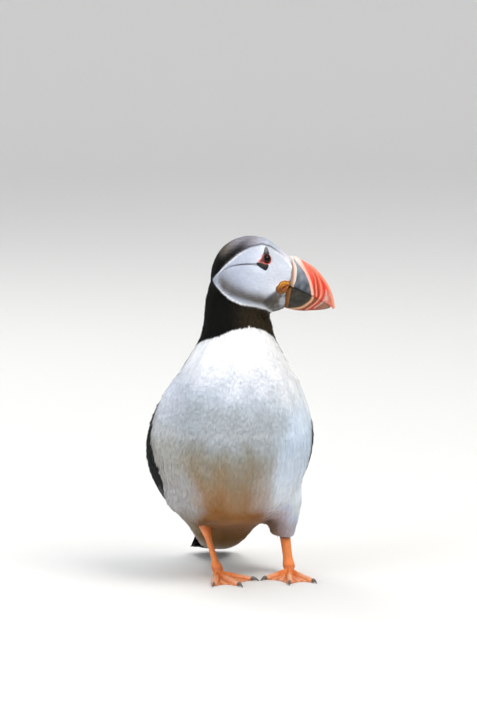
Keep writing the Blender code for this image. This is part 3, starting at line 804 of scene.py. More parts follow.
def shapeLegs(mesh):
    points = pointsOf(mesh)
    normals = normalsOf(mesh)
    tone = tonesOf(legLook)
    colour = np.zeros_like(points)
    for side, sign in sides.items():
        own = onSide(points, sign)
        part = points[own]
        level = part[:, 2]
        radius, gap, turn = footPlaces(part, side)
        onTop = ramp(normals[own][:, 2], 0.1, 0.7) * ramp(level, 0.3, 1.0)
        toe = ramp(gap, legLook["toeWidth"], 0.6)
        web = ramp(gap, 1.6, 2.8) * ramp(radius, 7, 14)
        folds = np.sin(np.radians(turn) * 46 + 2 * ripple(part, 14, 41)) * ramp(radius, 6, 16)
        cross = np.sin(radius * 2 * math.pi / 3.1 + ripple(part, 9, 42) * 2)
        scute = np.abs(np.sin(radius * math.pi / 1.7))
        rise = toe * (0.3 + 0.1 * scute) * ramp(radius, 5, 9) - web * 0.2
        rise = rise + web * (legLook["wrinkle"] * folds + 0.07 * cross)
        high = ramp(level, 4.5, 8)
        shank = 0.12 * np.abs(np.sin(level * math.pi / 2.1)) * high
        points[own] = part + normals[own] * ((rise * onTop * (1 - high)) + shank)[:, None]
        scaly = painted(
            tone["orange"],
            tone,
            ("web", web),
            # painted light on the toes' tops and on the crests of the web's folds, and painted shade in the
            # folds' troughs
            ("light", toe * ramp(radius, 10, 22) * onTop * 0.7),
            ("light", ramp(folds, 0.3, 1.0) * web * 0.45),
            ("seam", ramp(folds, -0.35, -1.0) * web * 0.55),
            ("seam", bell(gap - 2.3, 0.5) * ramp(radius, 8, 14) * 0.45),
            ("seam", (1 - scute) ** 4 * toe * 0.35 * (1 - high)),
            ("joint", bell(level - 5.6, 1.1) * ramp(radius, 9, 6) * 0.8),
            ("joint", ramp(level, 18, 32) * 0.35),
        )
        colour[own] = mottled(scaly, part, 0.09, 5, 43)
    points[:, 2] = np.maximum(points[:, 2], 0.0)
    place(mesh, points)
    tint(mesh, colour)


shapeLegs(legMesh)
store(legMesh, "skinNormal", normalsOf(legMesh), "FLOAT_VECTOR")
print("feet shaped")


# ---- one unwrap of the skin's own shape: the body on the left of the map, the legs on its right


def unwrap(mesh, low, high):
    # smart projection, fitted between two places across the map
    holder = addObject("unwrap", mesh)
    mesh.uv_layers.new(name="OFBake")
    bpy.context.view_layer.objects.active = holder
    holder.select_set(True)
    bpy.ops.object.mode_set(mode="EDIT")
    bpy.ops.mesh.select_all(action="SELECT")
    bpy.ops.uv.smart_project(angle_limit=math.radians(66), island_margin=0.004)
    bpy.ops.object.mode_set(mode="OBJECT")
    bpy.data.objects.remove(holder)
    flat = readOut(mesh.uv_layers["OFBake"].data, "uv", 2)
    if mesh == bodyMesh:
        setMap(mesh, "skinMap", flat)
    flat[:, 0] = low + flat[:, 0] * (high - low)
    setMap(mesh, "OFBake", flat)


unwrap(bodyMesh, 0.0, 0.7)
unwrap(legMesh, 0.71, 1.0)
print("skin unwrapped")


# ---- materials


def newMaterial(name, shares):
    made = bpy.data.materials.new(name)
    made.use_nodes = True
    shader = made.node_tree.nodes["Principled BSDF"]
    for socket, value in shares.items():
        shader.inputs[socket].default_value = value
    return made, made.node_tree, shader


def patterned(name, shares, kind, values, output="Fac", relief=None, seam=None, shade=None, wear=None, **how):
    # a surface in the colours of its own points, which one pattern shades, roughens or raises;
    # waves run across the vane of a feather, other patterns fill the whole piece
    made, tree, shader = newMaterial(name, shares)
    colour = addNode(tree, "ShaderNodeAttribute", attribute_name="tint")
    if kind == "ShaderNodeTexWave":
        where = addNode(tree, "ShaderNodeUVMap", uv_map="vane")
    else:
        where = addNode(tree, "ShaderNodeTexCoord").outputs["Object"]
    pattern = addNode(tree, kind, {"Vector": where, **values}, **how).outputs[output]
    if seam:
        pattern = addNode(tree, "ShaderNodeMapRange", {"Value": pattern, "From Min": 0.0, "From Max": seam})
    if shade:
        lit = addNode(tree, "ShaderNodeMapRange", {"Value": pattern, "To Min": shade[0], "To Max": shade[1]})
        colour = addNode(tree, "ShaderNodeVectorMath", {0: colour, "Scale": lit}, operation="SCALE")
    if wear:
        rough = addNode(tree, "ShaderNodeMapRange", {"Value": pattern, "To Min": wear[0], "To Max": wear[1]})
        tree.links.new(rough.outputs[0], shader.inputs["Roughness"])
    if relief:
        bump = {"Height": pattern, "Strength": relief[0], "Distance": relief[1] * mm}
        tree.links.new(addNode(tree, "ShaderNodeBump", bump).outputs[0], shader.inputs["Normal"])
    tree.links.new(colour.outputs[0], shader.inputs["Base Color"])
    return made


def keratinFeather(name, roughness, gloss, sheen, grain):
    # feather: dry keratin barbs side by side, which scatter light softly and shine a little along the vane;
    # fine ribs stand 0.05 mm apart on a lock and 0.1 mm on a flight feather, between barbules and barbs
    return patterned(
        name,
        {
            "Roughness": roughness,
            "IOR": 1.55,
            "Specular IOR Level": gloss,
            "Sheen Weight": sheen,
            "Sheen Roughness": 0.5,
        },
        "ShaderNodeTexWave",
        {"Scale": grain, "Distortion": 2.0, "Detail": 1.0},
        relief=(0.25, 0.15),
        wave_type="BANDS",
        bands_direction="X",
    )


def keratinHorn(name, roughness, grain, depth):
    # keratin sheath of bill and claws: grown in layers and worn smooth, so waxy with faint growth lines
    return patterned(
        name,
        {
            "Roughness": roughness,
            "IOR": 1.55,
            "Specular IOR Level": 0.32,
            "Coat Weight": 0.06,
            "Coat Roughness": 0.3,
        },
        "ShaderNodeTexNoise",
        {"Scale": 1 / (grain * mm), "Detail": 4.0},
        relief=(0.35, depth),
        wear=(roughness - 0.1, roughness + 0.15),
    )


# bare skin under the plumage: dull, finely pimpled where feathers root
featherSkin = patterned(
    "featherSkin",
    {"Roughness": 0.8, "IOR": 1.45, "Specular IOR Level": 0.2},
    "ShaderNodeTexVoronoi",
    {"Scale": 1 / (1.1 * mm)},
    "Distance",
    relief=(0.4, 0.2),
)
# scaly leg skin: small plates with darker seams, moist and waxy, so softly glossy
scalyLegSkin = patterned(
    "scalyLegSkin",
    {
        "Roughness": 0.42,
        "IOR": 1.45,
        "Specular IOR Level": 0.45,
        "Subsurface Weight": 0.12,
        "Subsurface Radius": (0.002, 0.0007, 0.0003),
    },
    "ShaderNodeTexVoronoi",
    {"Scale": 1 / (0.9 * mm), "Randomness": 0.85},
    "Distance",
    relief=(0.5, 0.12),
    seam=0.16,
    shade=(0.72, 1.0),
    feature="DISTANCE_TO_EDGE",
)
# wet eyeball: dark iris under a clear cornea, mirror-smooth
corneaAndIris = patterned(
    "corneaAndIris",
    {"Roughness": 0.06, "IOR": 1.38, "Specular IOR Level": 0.22, "Coat Weight": 0.1, "Coat Roughness": 0.02},
    "ShaderNodeTexNoise",
    {"Scale": 1 / (0.5 * mm), "Detail": 3.0},
    shade=(0.6, 1.4),
)
softWhite = keratinFeather("whiteContourFeather", 0.75, 0.12, 0.12, 8)
softBlack = keratinFeather("blackContourFeather", 0.62, 0.07, 0.006, 8)
faceFeather = keratinFeather("faceFeather", 0.7, 0.2, 0.2, 6)
flightFeather = keratinFeather("blackFlightFeather", 0.5, 0.11, 0.005, 30)
billKeratin = keratinHorn("billKeratin", 0.38, 1.4, 0.12)
cereSkin = keratinHorn("cereSkin", 0.5, 0.9, 0.2)
eyelidSkin = keratinHorn("eyelidSkin", 0.45, 0.5, 0.12)
slateHorn = keratinHorn("slateHorn", 0.45, 0.6, 0.15)
gapeSkin = keratinHorn("gapeSkin", 0.42, 0.7, 0.2)
clawKeratin = keratinHorn("clawKeratin", 0.32, 1.0, 0.08)


# ---- the skin as one piece

bodyMesh.materials.append(featherSkin)
legMesh.materials.clear()
legMesh.materials.append(scalyLegSkin)
bpy.ops.object.select_all(action="DESELECT")
drape = addObject("drape", bodyMesh.copy())  # the body alone, for feathers to lie on
joined = addObject("bodyPart", bodyMesh)
for part in (joined, addObject("legPart", legMesh)):
    part.select_set(True)
bpy.context.view_layer.objects.active = joined
bpy.ops.object.join()
bodyMesh = joined.data
bpy.data.objects.remove(joined)
skinPiece = finishPiece("skin", bodyMesh, None, "orange_skin", *fleshNodes, *wingNodes, *legNodes)
skinTree = BVHTree.FromObject(drape, bpy.context.evaluated_depsgraph_get())


# ---- flight feathers and tail feathers, each a vane laid over the skin

flightShape = {
    "count": 22,  # ten primaries at the lower edge, then the secondaries and tertials
    "primaries": 10,
    "tips": (14.0, 45.0, 80.0),  # height of the first tip, of the last primary's and of the last tertial's
    "lengths": (66.0, 52.0, 34.0),
    "widths": (7.5, 9.0, 10.5),
    "lift": 0.55,
    "tilt": 0.42,  # how far the edge towards the belly stands over the feather before it
    "tailCount": 15,
    "tailLength": 46.0,
    "tailWidth": 7.5,
    "tailStep": 0.05,
    "tailHeight": 13.0,
}
vaneSteps = (-1.0, -0.55, -0.08, 0.0, 0.08, 0.55, 1.0)
tailLow, tailHigh = (np.array(v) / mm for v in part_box("tail"))
tailMiddle, tailHalf = (tailLow[0] + tailHigh[0]) / 2, (tailHigh[0] - tailLow[0]) / 2


def onWing(height, across, sign):
    # a point of the skin on the folded wing, and the way out from it
    low, high = (np.interp(height, wingRows[:, 0], wingRows[:, k]) for k in (1, 2))
    angle = math.radians(low + (high - low) * across) * sign
    middleX, middleY, half, reach = (float(v) for v in sliceAt(height))
    middle = Vector((middleX, middleY, height)) * mm
    way = Vector((math.sin(angle) * half, -math.cos(angle) * reach, 0)).normalized()
    outside = 120 * mm
    spot, out, _, _ = skinTree.ray_cast(middle + way * outside, -way)
    if spot is None:
        spot, out, _, _ = skinTree.find_nearest(middle)
    return np.array(spot) / mm, np.array(out)


def vane(spine, outs, width, lift, tilt, tipRound, bare=None, onSkin=True, rows=16):
    # a grid either side of a spine, closed to a rounded tip, with a raised shaft and one raised edge;
    # where it isn't bare it lies low, under the coverts
    places = np.linspace(0, len(spine) - 1, rows)
    spine, outs = along(spine, places), unit(along(outs, places))
    across = unit(np.cross(unit(np.gradient(spine, axis=0)), outs))
    share = np.linspace(0, 1, rows)
    half = width / 2 * ramp(share, -0.35, 0.3) * np.clip(1 - share ** (6 * tipRound), 0, 1) ** 0.55
    half = np.maximum(half, 0.12)
    bare = ramp(share, 0.1, 0.45) if bare is None else along(bare[:, None], places)[:, 0]
    toBelly = np.sign(across[rows // 2] @ forward)
    grid, marks = [], []
    for i in range(rows):
        for k in vaneSteps:
            spot, out = spine[i] + across[i] * half[i] * k, outs[i]
            if onSkin:
                near, nearOut, _, _ = skinTree.find_nearest(Vector(spot) * mm)
                spot, out = np.array(near) / mm, unit(0.5 * np.array(nearOut) + out)
            rise = (lift + tilt * k * toBelly) * bare[i] - 0.5 * (1 - bare[i])
            rise += 0.15 - 0.12 * abs(k) ** 1.5 + (0.14 if k == 0 else 0.0)
            grid.append(spot + out * rise)
            marks.append((0.5 + 0.5 * k, share[i]))
    return grid, marks


def joinVanes(name, feathers):
    grids, places, shades = zip(*feathers)
    points, marks = np.vstack(grids), np.vstack(places)
    count, wide = len(grids[0]), len(vaneSteps)
    shade = np.repeat(shades, count)
    faces = [
        (a, a + 1, a + wide + 1, a + wide)
        for base in range(0, len(points), count)
        for row in range(base, base + count - wide, wide)
        for a in range(row, row + wide - 1)
    ]
    mesh = meshOf(name, points, faces)
    corners = readOut(mesh.loops, "vertex_index", 1, np.int32)
    setMap(mesh, "vane", marks[corners])
    # on the other map every feather has a strip of its own
    columns = math.ceil(math.sqrt(len(feathers)))
    strips = np.column_stack([corners // count % columns, corners // count // columns])
    setMap(mesh, "OFBake", (strips + 0.06 + 0.88 * marks[corners]) / columns)
    edge = ramp(np.abs(marks[:, 0] - 0.5), 0.36, 0.5) + ramp(marks[:, 1], 0.9, 1.0)
    tone = tonesOf(plumage)
    black = painted(tone["black"], tone, ("blackCool", shade), ("vaneFringe", np.clip(edge, 0, 1) * 0.5))
    tint(mesh, black * (0.85 + 0.3 * shade)[:, None])
    finishPiece(name, mesh, flightFeather, "black_plumage")
    return points


def covertEdge(across):
    # the height where coverts give way to flight feathers, from the wing's lower edge to its upper one
    return 62 + 26 * across


def makeFlight(side, sign):
    shape = flightShape
    chance = np.random.default_rng(7)
    last = shape["count"] - 1
    share = np.linspace(0, 1, 8)
    feathers = []
    for k in range(shape["count"]):
        stages = (shape[part] for part in ("tips", "lengths", "widths"))
        tip, length, width = (np.interp(k, [0, shape["primaries"], last], stage) for stage in stages)
        tip += chance.uniform(-1.0, 1.0)
        across = 0.05 + 0.92 * k / last
        heights = tip + length * (1 - share)
        spine, outs = zip(
            *(onWing(height, across + 0.03 * math.sin(3 * s), sign) for height, s in zip(heights, share))
        )
        tipRound = 1.0 if k < shape["primaries"] else 0.7
        bare = ramp(covertEdge(across) + 4 - heights, 0, 9)
        laid = vane(spine, outs, width, shape["lift"], shape["tilt"], tipRound, bare)
        feathers.append((*laid, chance.uniform(0, 1)))
    return joinVanes("flightFeathers_" + side, feathers)


def makeTail():
    # a fan over and under the tail, the middle feathers outermost, closing on each other at their tips
    shape = flightShape
    tailTree = treeOf("tail")
    ends = nodePoints("tail")
    tip = ends[ends[:, 1] > tailHigh[1] - 4].mean(axis=0)
    root = np.array([tailMiddle - 3.0, tailHigh[1] - shape["tailLength"], shape["tailHeight"]])
    middle = shape["tailCount"] // 2
    feathers = []
    for rank, k in enumerate(sorted(range(shape["tailCount"]), key=lambda k: -abs(k - middle))):
        aside = (k - middle) / middle
        end = tip + (aside * (tailHalf - 3.0), -7.0 * aside**2 - 0.3, 0.0)
        start = root + (aside * tailHalf * 0.45, 3.0 * aside**2, 0.0)
        for face in (1, -1):
            spine = []
            for share in np.linspace(0, 1, 8):
                spot = start + (end - start) * share
                heights = []
                for way in (1, -1):
                    above = Vector((spot[0], spot[1], shape["tailHeight"] + 40 * way))
                    hit = tailTree.ray_cast(above, Vector((0, 0, -way)))[0]
                    heights.append((hit or tailTree.find_nearest(Vector(spot))[0])[2])
                centre, thick = sum(heights) / 2, (heights[0] - heights[1]) / 2
                thick = thick * (1 - 0.94 * ramp(share, 0.35, 1.0)) - 0.5 * (1 - share)
                spine.append((spot[0], spot[1], centre + face * thick))
            outs = [(0.12 * aside, 0, face)] * 8
            laid = vane(spine, outs, shape["tailWidth"], 0.1 + shape["tailStep"] * rank, 0.0, 0.6, onSkin=False)
            feathers.append((*laid, (k * 0.37) % 1.0))
    return joinVanes("tailFeathers", feathers)


vanePoints = np.vstack([makeFlight(side, sign) for side, sign in sides.items()] + [makeTail()])


# ---- feathers: small locks of barbs spread over the skin by Geometry Nodes


patchSize = 0.003  # a lock's size on the skin's map, which is 1 across
rootDepth = 0.12  # how far the locks' roots sink in, in millimetres


def lockObject(name, strips, rows, point):
    # a tuft one unit long and wide, lying along Y: strips side by side that taper to a point
    places, faces, marks, rise = [], [], [], []
    for k in range(strips):
        aside = (k - (strips - 1) / 2) / strips
        reach = 1 - 0.3 * abs(aside) + 0.05 * math.sin(7 * k)
        base = len(places)
        for j in range(rows + 1):
            s = j / rows
            middle = aside * (0.7 + 0.5 * math.sin(math.pi * s * 0.8))
            half = 0.62 / strips * (0.55 + 0.75 * math.sin(math.pi * min(1, s * 1.05)) ** 0.8) * (1 - s**point)
            for x in [-half, half] if j < rows else [0.0]:
                places.append((middle + x, s * reach, 0.0))
                marks.append((0.5 + middle + x, s))
                rise.append(s * (1 - 0.9 * (middle + x) ** 2))
        last = base + 2 * (rows - 1)
        faces += [(low, low + 1, low + 3, low + 2) for low in range(base, last, 2)]
        faces.append((last, last + 1, last + 2))
    mesh = meshOf(name, places, faces, 1)
    store(mesh, "rise", rise)
    setMap(mesh, "vane", np.array(marks)[readOut(mesh.loops, "vertex_index", 1, np.int32)])
    return addObject(name, mesh)


def plumageTree():
    tree = bpy.data.node_groups.new("plumage", "GeometryNodeTree")
    tree.interface.new_socket("Geometry", in_out="OUTPUT", socket_type="NodeSocketGeometry")
    kinds = {"Geometry": "Geometry", "Lock": "Object", "Skin": "Object", "Material": "Material", "Seed": "Int"}
    for name in (*kinds, "Spacing", "Length", "Girth", "Lift", "Wander", "Softness"):
        tree.interface.new_socket(name, in_out="INPUT", socket_type="NodeSocket" + kinds.get(name, "Float"))
    given = addNode(tree, "NodeGroupInput").outputs
    # what the skin and the lock carry on their points
    own = {}
    for name in ("share", "size", "rise", "luck", "flow", "skinNormal", "vane", "skinMap"):
        kind = "FLOAT" if name in ("share", "size", "rise", "luck") else "FLOAT_VECTOR"
        own[name] = addNode(tree, "GeometryNodeInputNamedAttribute", {"Name": name}, data_type=kind)
    # what differs from lock to lock: lowest, highest, seed
    chance = {"luck": (0.0, 1.0, 5), "stray": (-1.0, 1.0, 7), "long": (0.75, 1.2, 9), "wide": (0.8, 1.25, 10)}
    for name, (low, high, seed) in chance.items():
        drawn = addNode(tree, "FunctionNodeRandomValue", {2: low, 3: high, "Seed": seed}, data_type="FLOAT")
        chance[name] = drawn.outputs[1]
    spirit = addNode(tree, "ShaderNodeMath", {0: own["luck"], 1: 0.5}, operation="MULTIPLY")
    spirit = addNode(tree, "ShaderNodeMath", {0: spirit, 1: 0.7}, operation="ADD")
    slighter = addNode(tree, "ShaderNodeMath", {0: own["size"], 1: 0.5}, operation="POWER")
    product = {
        "square": (given["Spacing"], given["Spacing"]),
        "stray": (chance["stray"], given["Wander"]),
        "long": (given["Length"], chance["long"], own["size"]),
        "wide": (given["Girth"], chance["wide"], slighter),
        "height": (own["rise"], given["Lift"], slighter, spirit),
    }
    for name, (total, *factors) in product.items():
        for factor in factors:
            total = addNode(tree, "ShaderNodeMath", {0: total, 1: factor}, operation="MULTIPLY")
        product[name] = total
    # roots: no two nearer than the spacing, thinned by the share attribute
    most = addNode(tree, "ShaderNodeMath", {0: 1.6, 1: product["square"]}, operation="DIVIDE")
    roots = {"Mesh": given["Geometry"], "Distance Min": given["Spacing"], "Seed": given["Seed"]}
    roots.update({"Density Max": most, "Density Factor": own["share"]})
    roots = addNode(tree, "GeometryNodeDistributePointsOnFaces", roots, distribute_method="POISSON")
    spot = addNode(tree, "GeometryNodeInputPosition")
    for name, kind, value in (("root", "FLOAT_VECTOR", spot), ("luck", "FLOAT", chance["luck"])):
        kept = {"Geometry": roots, "Name": name, "Value": value}
        roots = addNode(tree, "GeometryNodeStoreNamedAttribute", kept, data_type=kind, domain="POINT")
    # each lock lies along the flow, turned a little to either side
    lie = {"Vector": own["flow"], "Axis": own["skinNormal"], "Angle": product["stray"]}
    turn = {"Primary Axis": own["skinNormal"], "Secondary Axis": addNode(tree, "ShaderNodeVectorRotate", lie)}
    turn = addNode(tree, "FunctionNodeAxesToRotation", turn, primary_axis="Z", secondary_axis="Y")
    scale = addNode(tree, "ShaderNodeCombineXYZ", {"X": product["wide"], "Y": product["long"], "Z": 1.0})
    lock = addNode(tree, "GeometryNodeObjectInfo", {"Object": given["Lock"]}).outputs["Geometry"]
    spread = {"Points": roots, "Instance": lock, "Rotation": turn, "Scale": scale}
    real = {"Geometry": addNode(tree, "GeometryNodeInstanceOnPoints", spread)}
    real = addNode(tree, "GeometryNodeRealizeInstances", real)
    # laid on the skin, sunk a little at the root and rising to the tip by the coat's depth
    skin = addNode(tree, "GeometryNodeObjectInfo", {"Object": given["Skin"]}).outputs["Geometry"]
    near = addNode(tree, "GeometryNodeProximity", {"Geometry": skin}, target_element="FACES")
    upward = {"Mesh": skin, "Value": own["skinNormal"]}
    upward = addNode(tree, "GeometryNodeSampleNearestSurface", upward, data_type="FLOAT_VECTOR")
    height = addNode(tree, "ShaderNodeMath", {0: product["height"], 1: rootDepth * mm}, operation="SUBTRACT")
    rise = addNode(tree, "ShaderNodeVectorMath", {0: upward, "Scale": height}, operation="SCALE")
    laidAt = addNode(tree, "ShaderNodeVectorMath", {0: near, 1: rise}, operation="ADD")
    laid = addNode(tree, "GeometryNodeSetPosition", {"Geometry": real, "Position": laidAt})
    # shading between the lock's own and the skin's, which keeps the coat soft
    facing = {0: given["Softness"], 4: addNode(tree, "GeometryNodeInputNormal"), 5: upward}
    facing = addNode(tree, "ShaderNodeMix", facing, data_type="VECTOR").outputs[1]
    soft = {"Mesh": laid, "Custom Normal": facing}
    soft = addNode(tree, "GeometryNodeSetMeshNormal", soft, mode="FREE", domain="POINT")
    # each lock is a small patch at its root's place on the skin's map
    patch = addNode(tree, "ShaderNodeVectorMath", {0: own["vane"], 1: (0.5, 0.5, 0.0)}, operation="SUBTRACT")
    patch = addNode(tree, "ShaderNodeVectorMath", {0: patch, "Scale": patchSize}, operation="SCALE")
    spotOnMap = addNode(tree, "ShaderNodeVectorMath", {0: own["skinMap"], 1: patch}, operation="ADD")
    mapped = {"Geometry": soft, "Name": "OFBake", "Value": spotOnMap}
    mapped = addNode(tree, "GeometryNodeStoreNamedAttribute", mapped, data_type="FLOAT2", domain="CORNER")
    done = {"Geometry": mapped, "Material": given["Material"]}
    addNode(tree, "NodeGroupOutput", {"Geometry": addNode(tree, "GeometryNodeSetMaterial", done)})
    return tree


plumageNodes = plumageTree()
fineLock = lockObject("fineLock", 3, 3, 3.0)
bodyLock = lockObject("bodyLock", 3, 4, 2.6)
covertVane = lockObject("covertVane", 5, 4, 5.0)
eyeCentre = inHead(middleOf("eye_left"))[[0, 2]]
gapeFromEye = inHead(middleOf("gape_rosette_left"))[[0, 2]] - eyeCentre + (-0.9, -0.9)
# bare lines from the middle of the eye, and half their width: the lids' corner, the lower and the upper plate
bareLines = [
    ([(-5.6, -2.4), (-2.2, -0.8), (0.0, 0.0)], 0.6),
    ([(-5.1, -2.9), (-2.5, -4.2), (0.1, -5.2)], 1.0),
    ([(0.2, 2.0), (-0.2, 4.5), (-0.6, 7.0)], 0.7),
]


def clearance(points):
    # how far a point stands outside the eyes, their plates and the gape, in millimetres
    flat = inHead(points)[:, [0, 2]] - eyeCentre
    gaps = [np.abs(fromLine(flat, line)) - half for line, half in bareLines]
    gaps.append(np.linalg.norm(flat * (1, 0.9), axis=1) - 3.1)
    gaps.append(awayFrom(flat, gapeFromEye, (4.6, 3.9)) * 4.2 - 4.0)
    return np.where(points[:, 2] > 172, np.min(gaps, axis=0), 9.0)


def nearVanes(points, reach):
    tree = KDTree(len(vanePoints))
    for number, spot in enumerate(vanePoints):
        tree.insert(Vector(spot), number)
    tree.balance()
    return np.array([tree.find(Vector(spot))[2] for spot in points]) < reach


head = inHead(bodyPoints)
level = bodyPoints[:, 2]
inWhite = whiteDepth(bodyPoints) >= 0
isHead = (head[:, 2] > lineHeight(faceLow, head[:, 0]) - 1.0) & (level > 172)
isHead &= head[:, 0] + head[:, 2] > -19
isFace = isHead & (faceDepth(head) > 0)
acrossWing = np.abs(bodyAngle(bodyPoints)) - np.interp(level, wingRows[:, 0], wingRows[:, 1])
acrossWing = np.clip(acrossWing / np.interp(level, wingRows[:, 0], wingRows[:, 2] - wingRows[:, 1]), 0, 1)
isCovert = (wingShare > 0.5) & ~inWhite & (level > covertEdge(acrossWing))
tailRoot = tailLow[1] + 12.0 + 5 * (1 - ((bodyPoints[:, 0] - tailMiddle) / tailHalf) ** 2)
isBody = ~isHead & ~((bodyPoints[:, 1] > tailRoot + 1.5 * ripple(bodyPoints, 4, 91)) & (level < 24))
isThigh = (thighGap < 2.2) & (level < 54) & (bodyPoints[:, 1] < 0)
isCovered = isCovert | (nearVanes(bodyPoints, 1.7) & (level < 100))
isPale, isDark = isBody & inWhite, isBody & ~inWhite
clear = clearance(bodyPoints)
# locks are smaller beside the eye, on head and neck, and round the bare shank
lockSize = np.clip(clear / 3.2, 0.22, 1.0) * np.where(isHead, 1.0, 0.62 + 0.38 * ramp(level, 176, 158))
lockSize = lockSize * (0.3 + 0.7 * ramp(distanceTo(bodyPoints, "shank_left", "shank_right"), 2, 11))

coatLooks = {
    # material, and how much of the skin's own shading the locks take on
    "grey_white_face": (faceFeather, 0.55),
    "black_plumage": (softBlack, 0.55),
    "white_plumage": (softWhite, 0.8),
}
coats = {
    # where, lock, slot, seed, then spacing, length, girth, lift (millimetres) and wander (degrees) of the locks
    "coatFace": (isFace, fineLock, "grey_white_face", 8, 0.6, 3.2, 0.9, 0.7, 9),
    "coatCrown": (isHead & ~isFace, fineLock, "black_plumage", 9, 0.64, 3.4, 0.95, 0.75, 12),
    "coatNeck": (isDark & (level > 140), bodyLock, "black_plumage", 8, 0.85, 6, 1.3, 1.2, 9),
    "coatBreast": (isPale & (level > 104), bodyLock, "white_plumage", 10, 0.92, 7, 1.5, 0.85, 4),
    "coatBelly": (isPale & (level <= 104) & (level > 62), bodyLock, "white_plumage", 9, 0.98, 9, 1.45, 1.3, 10),
    "coatVent": (isPale & (level <= 62) & ~isThigh, bodyLock, "white_plumage", 8, 0.95, 9, 1.4, 1.5, 14),
    "coatThighs": (isThigh & isBody, bodyLock, "white_plumage", 10, 0.85, 8, 1.2, 1.8, 20),
    "coatBack": (isDark & (level <= 140) & ~isCovered, bodyLock, "black_plumage", 8, 1.2, 9, 1.9, 1.4, 8),
    "coatWing": (isCovert & isBody, covertVane, "black_plumage", 8, 1.7, 8.5, 3.2, 1.5, 6),
}


def growCoat(name, where, lock, slot, seed, spacing, length, girth, lift, wander):
    patch = drape.data.copy()
    store(patch, "share", where * (clear > 0.0) * 1.0)
    store(patch, "size", lockSize)
    holder = addObject(name, patch)
    grow = holder.modifiers.new("plumage", "NODES")
    grow.node_group = plumageNodes
    material, softness = coatLooks[slot]
    values = {
        "Lock": lock,
        "Skin": skinPiece,
        "Material": material,
        "Seed": seed,
        "Spacing": spacing * mm,
        "Length": length * mm,
        "Girth": girth * mm,
        "Lift": lift * mm,
        "Wander": math.radians(wander),
        "Softness": softness,
    }
    for socket in plumageNodes.interface.items_tree:
        if socket.in_out == "INPUT" and socket.name in values:
            grow[socket.identifier] = values[socket.name]
    mesh = settled(holder, name)
    roots = readOut(mesh.attributes["root"].data, "vector", 3) / mm
    luck, rise = (readOut(mesh.attributes[part].data, "value", 1) for part in ("luck", "rise"))
    onHead = ramp(roots[:, 2], 166, 174)
    colour = colourAt(mixed(roots, pointsOf(mesh), 0.82 + 0.18 * onHead))
    if slot == "black_plumage" and not isHead[where].any():
        # black feathers differ more and are darker towards the root, which is painted shade; their worn tips
        # are a little paler, most of all on the back
        onBack = ramp(np.abs(bodyAngle(roots)), 104, 128) * ramp(roots[:, 2], 158, 140)
        colour = colour * (0.75 + 0.4 * luck + 0.45 * ramp(rise, 0.6, 1.0))[:, None]
        worn = ramp(rise, 0.5, 0.85) * onBack * (0.35 + 0.65 * luck)
        colour = mixed(colour, toLinear(plumage["wornTip"]), worn * 0.75)
    else:
        # white locks differ a little, and are darker towards the root: painted shade
        colour = colour * (0.93 + 0.12 * luck + 0.06 * (rise - 0.5))[:, None]
    tint(mesh, colour)
    for spare in ("root", "luck", "rise", "size", "share", "flow", "skinNormal", "skinMap"):
        if spare in mesh.attributes:
            mesh.attributes.remove(mesh.attributes[spare])
    finishPiece(name, mesh, None, slot)


for name, values in coats.items():
    growCoat(name, *values)
for spare in ("flow", "skinNormal", "skinMap"):
    skinPiece.data.attributes.remove(skinPiece.data.attributes[spare])


# ---- bill: two horny mandibles and the fleshy cere, as fine lofts in the head's own frame

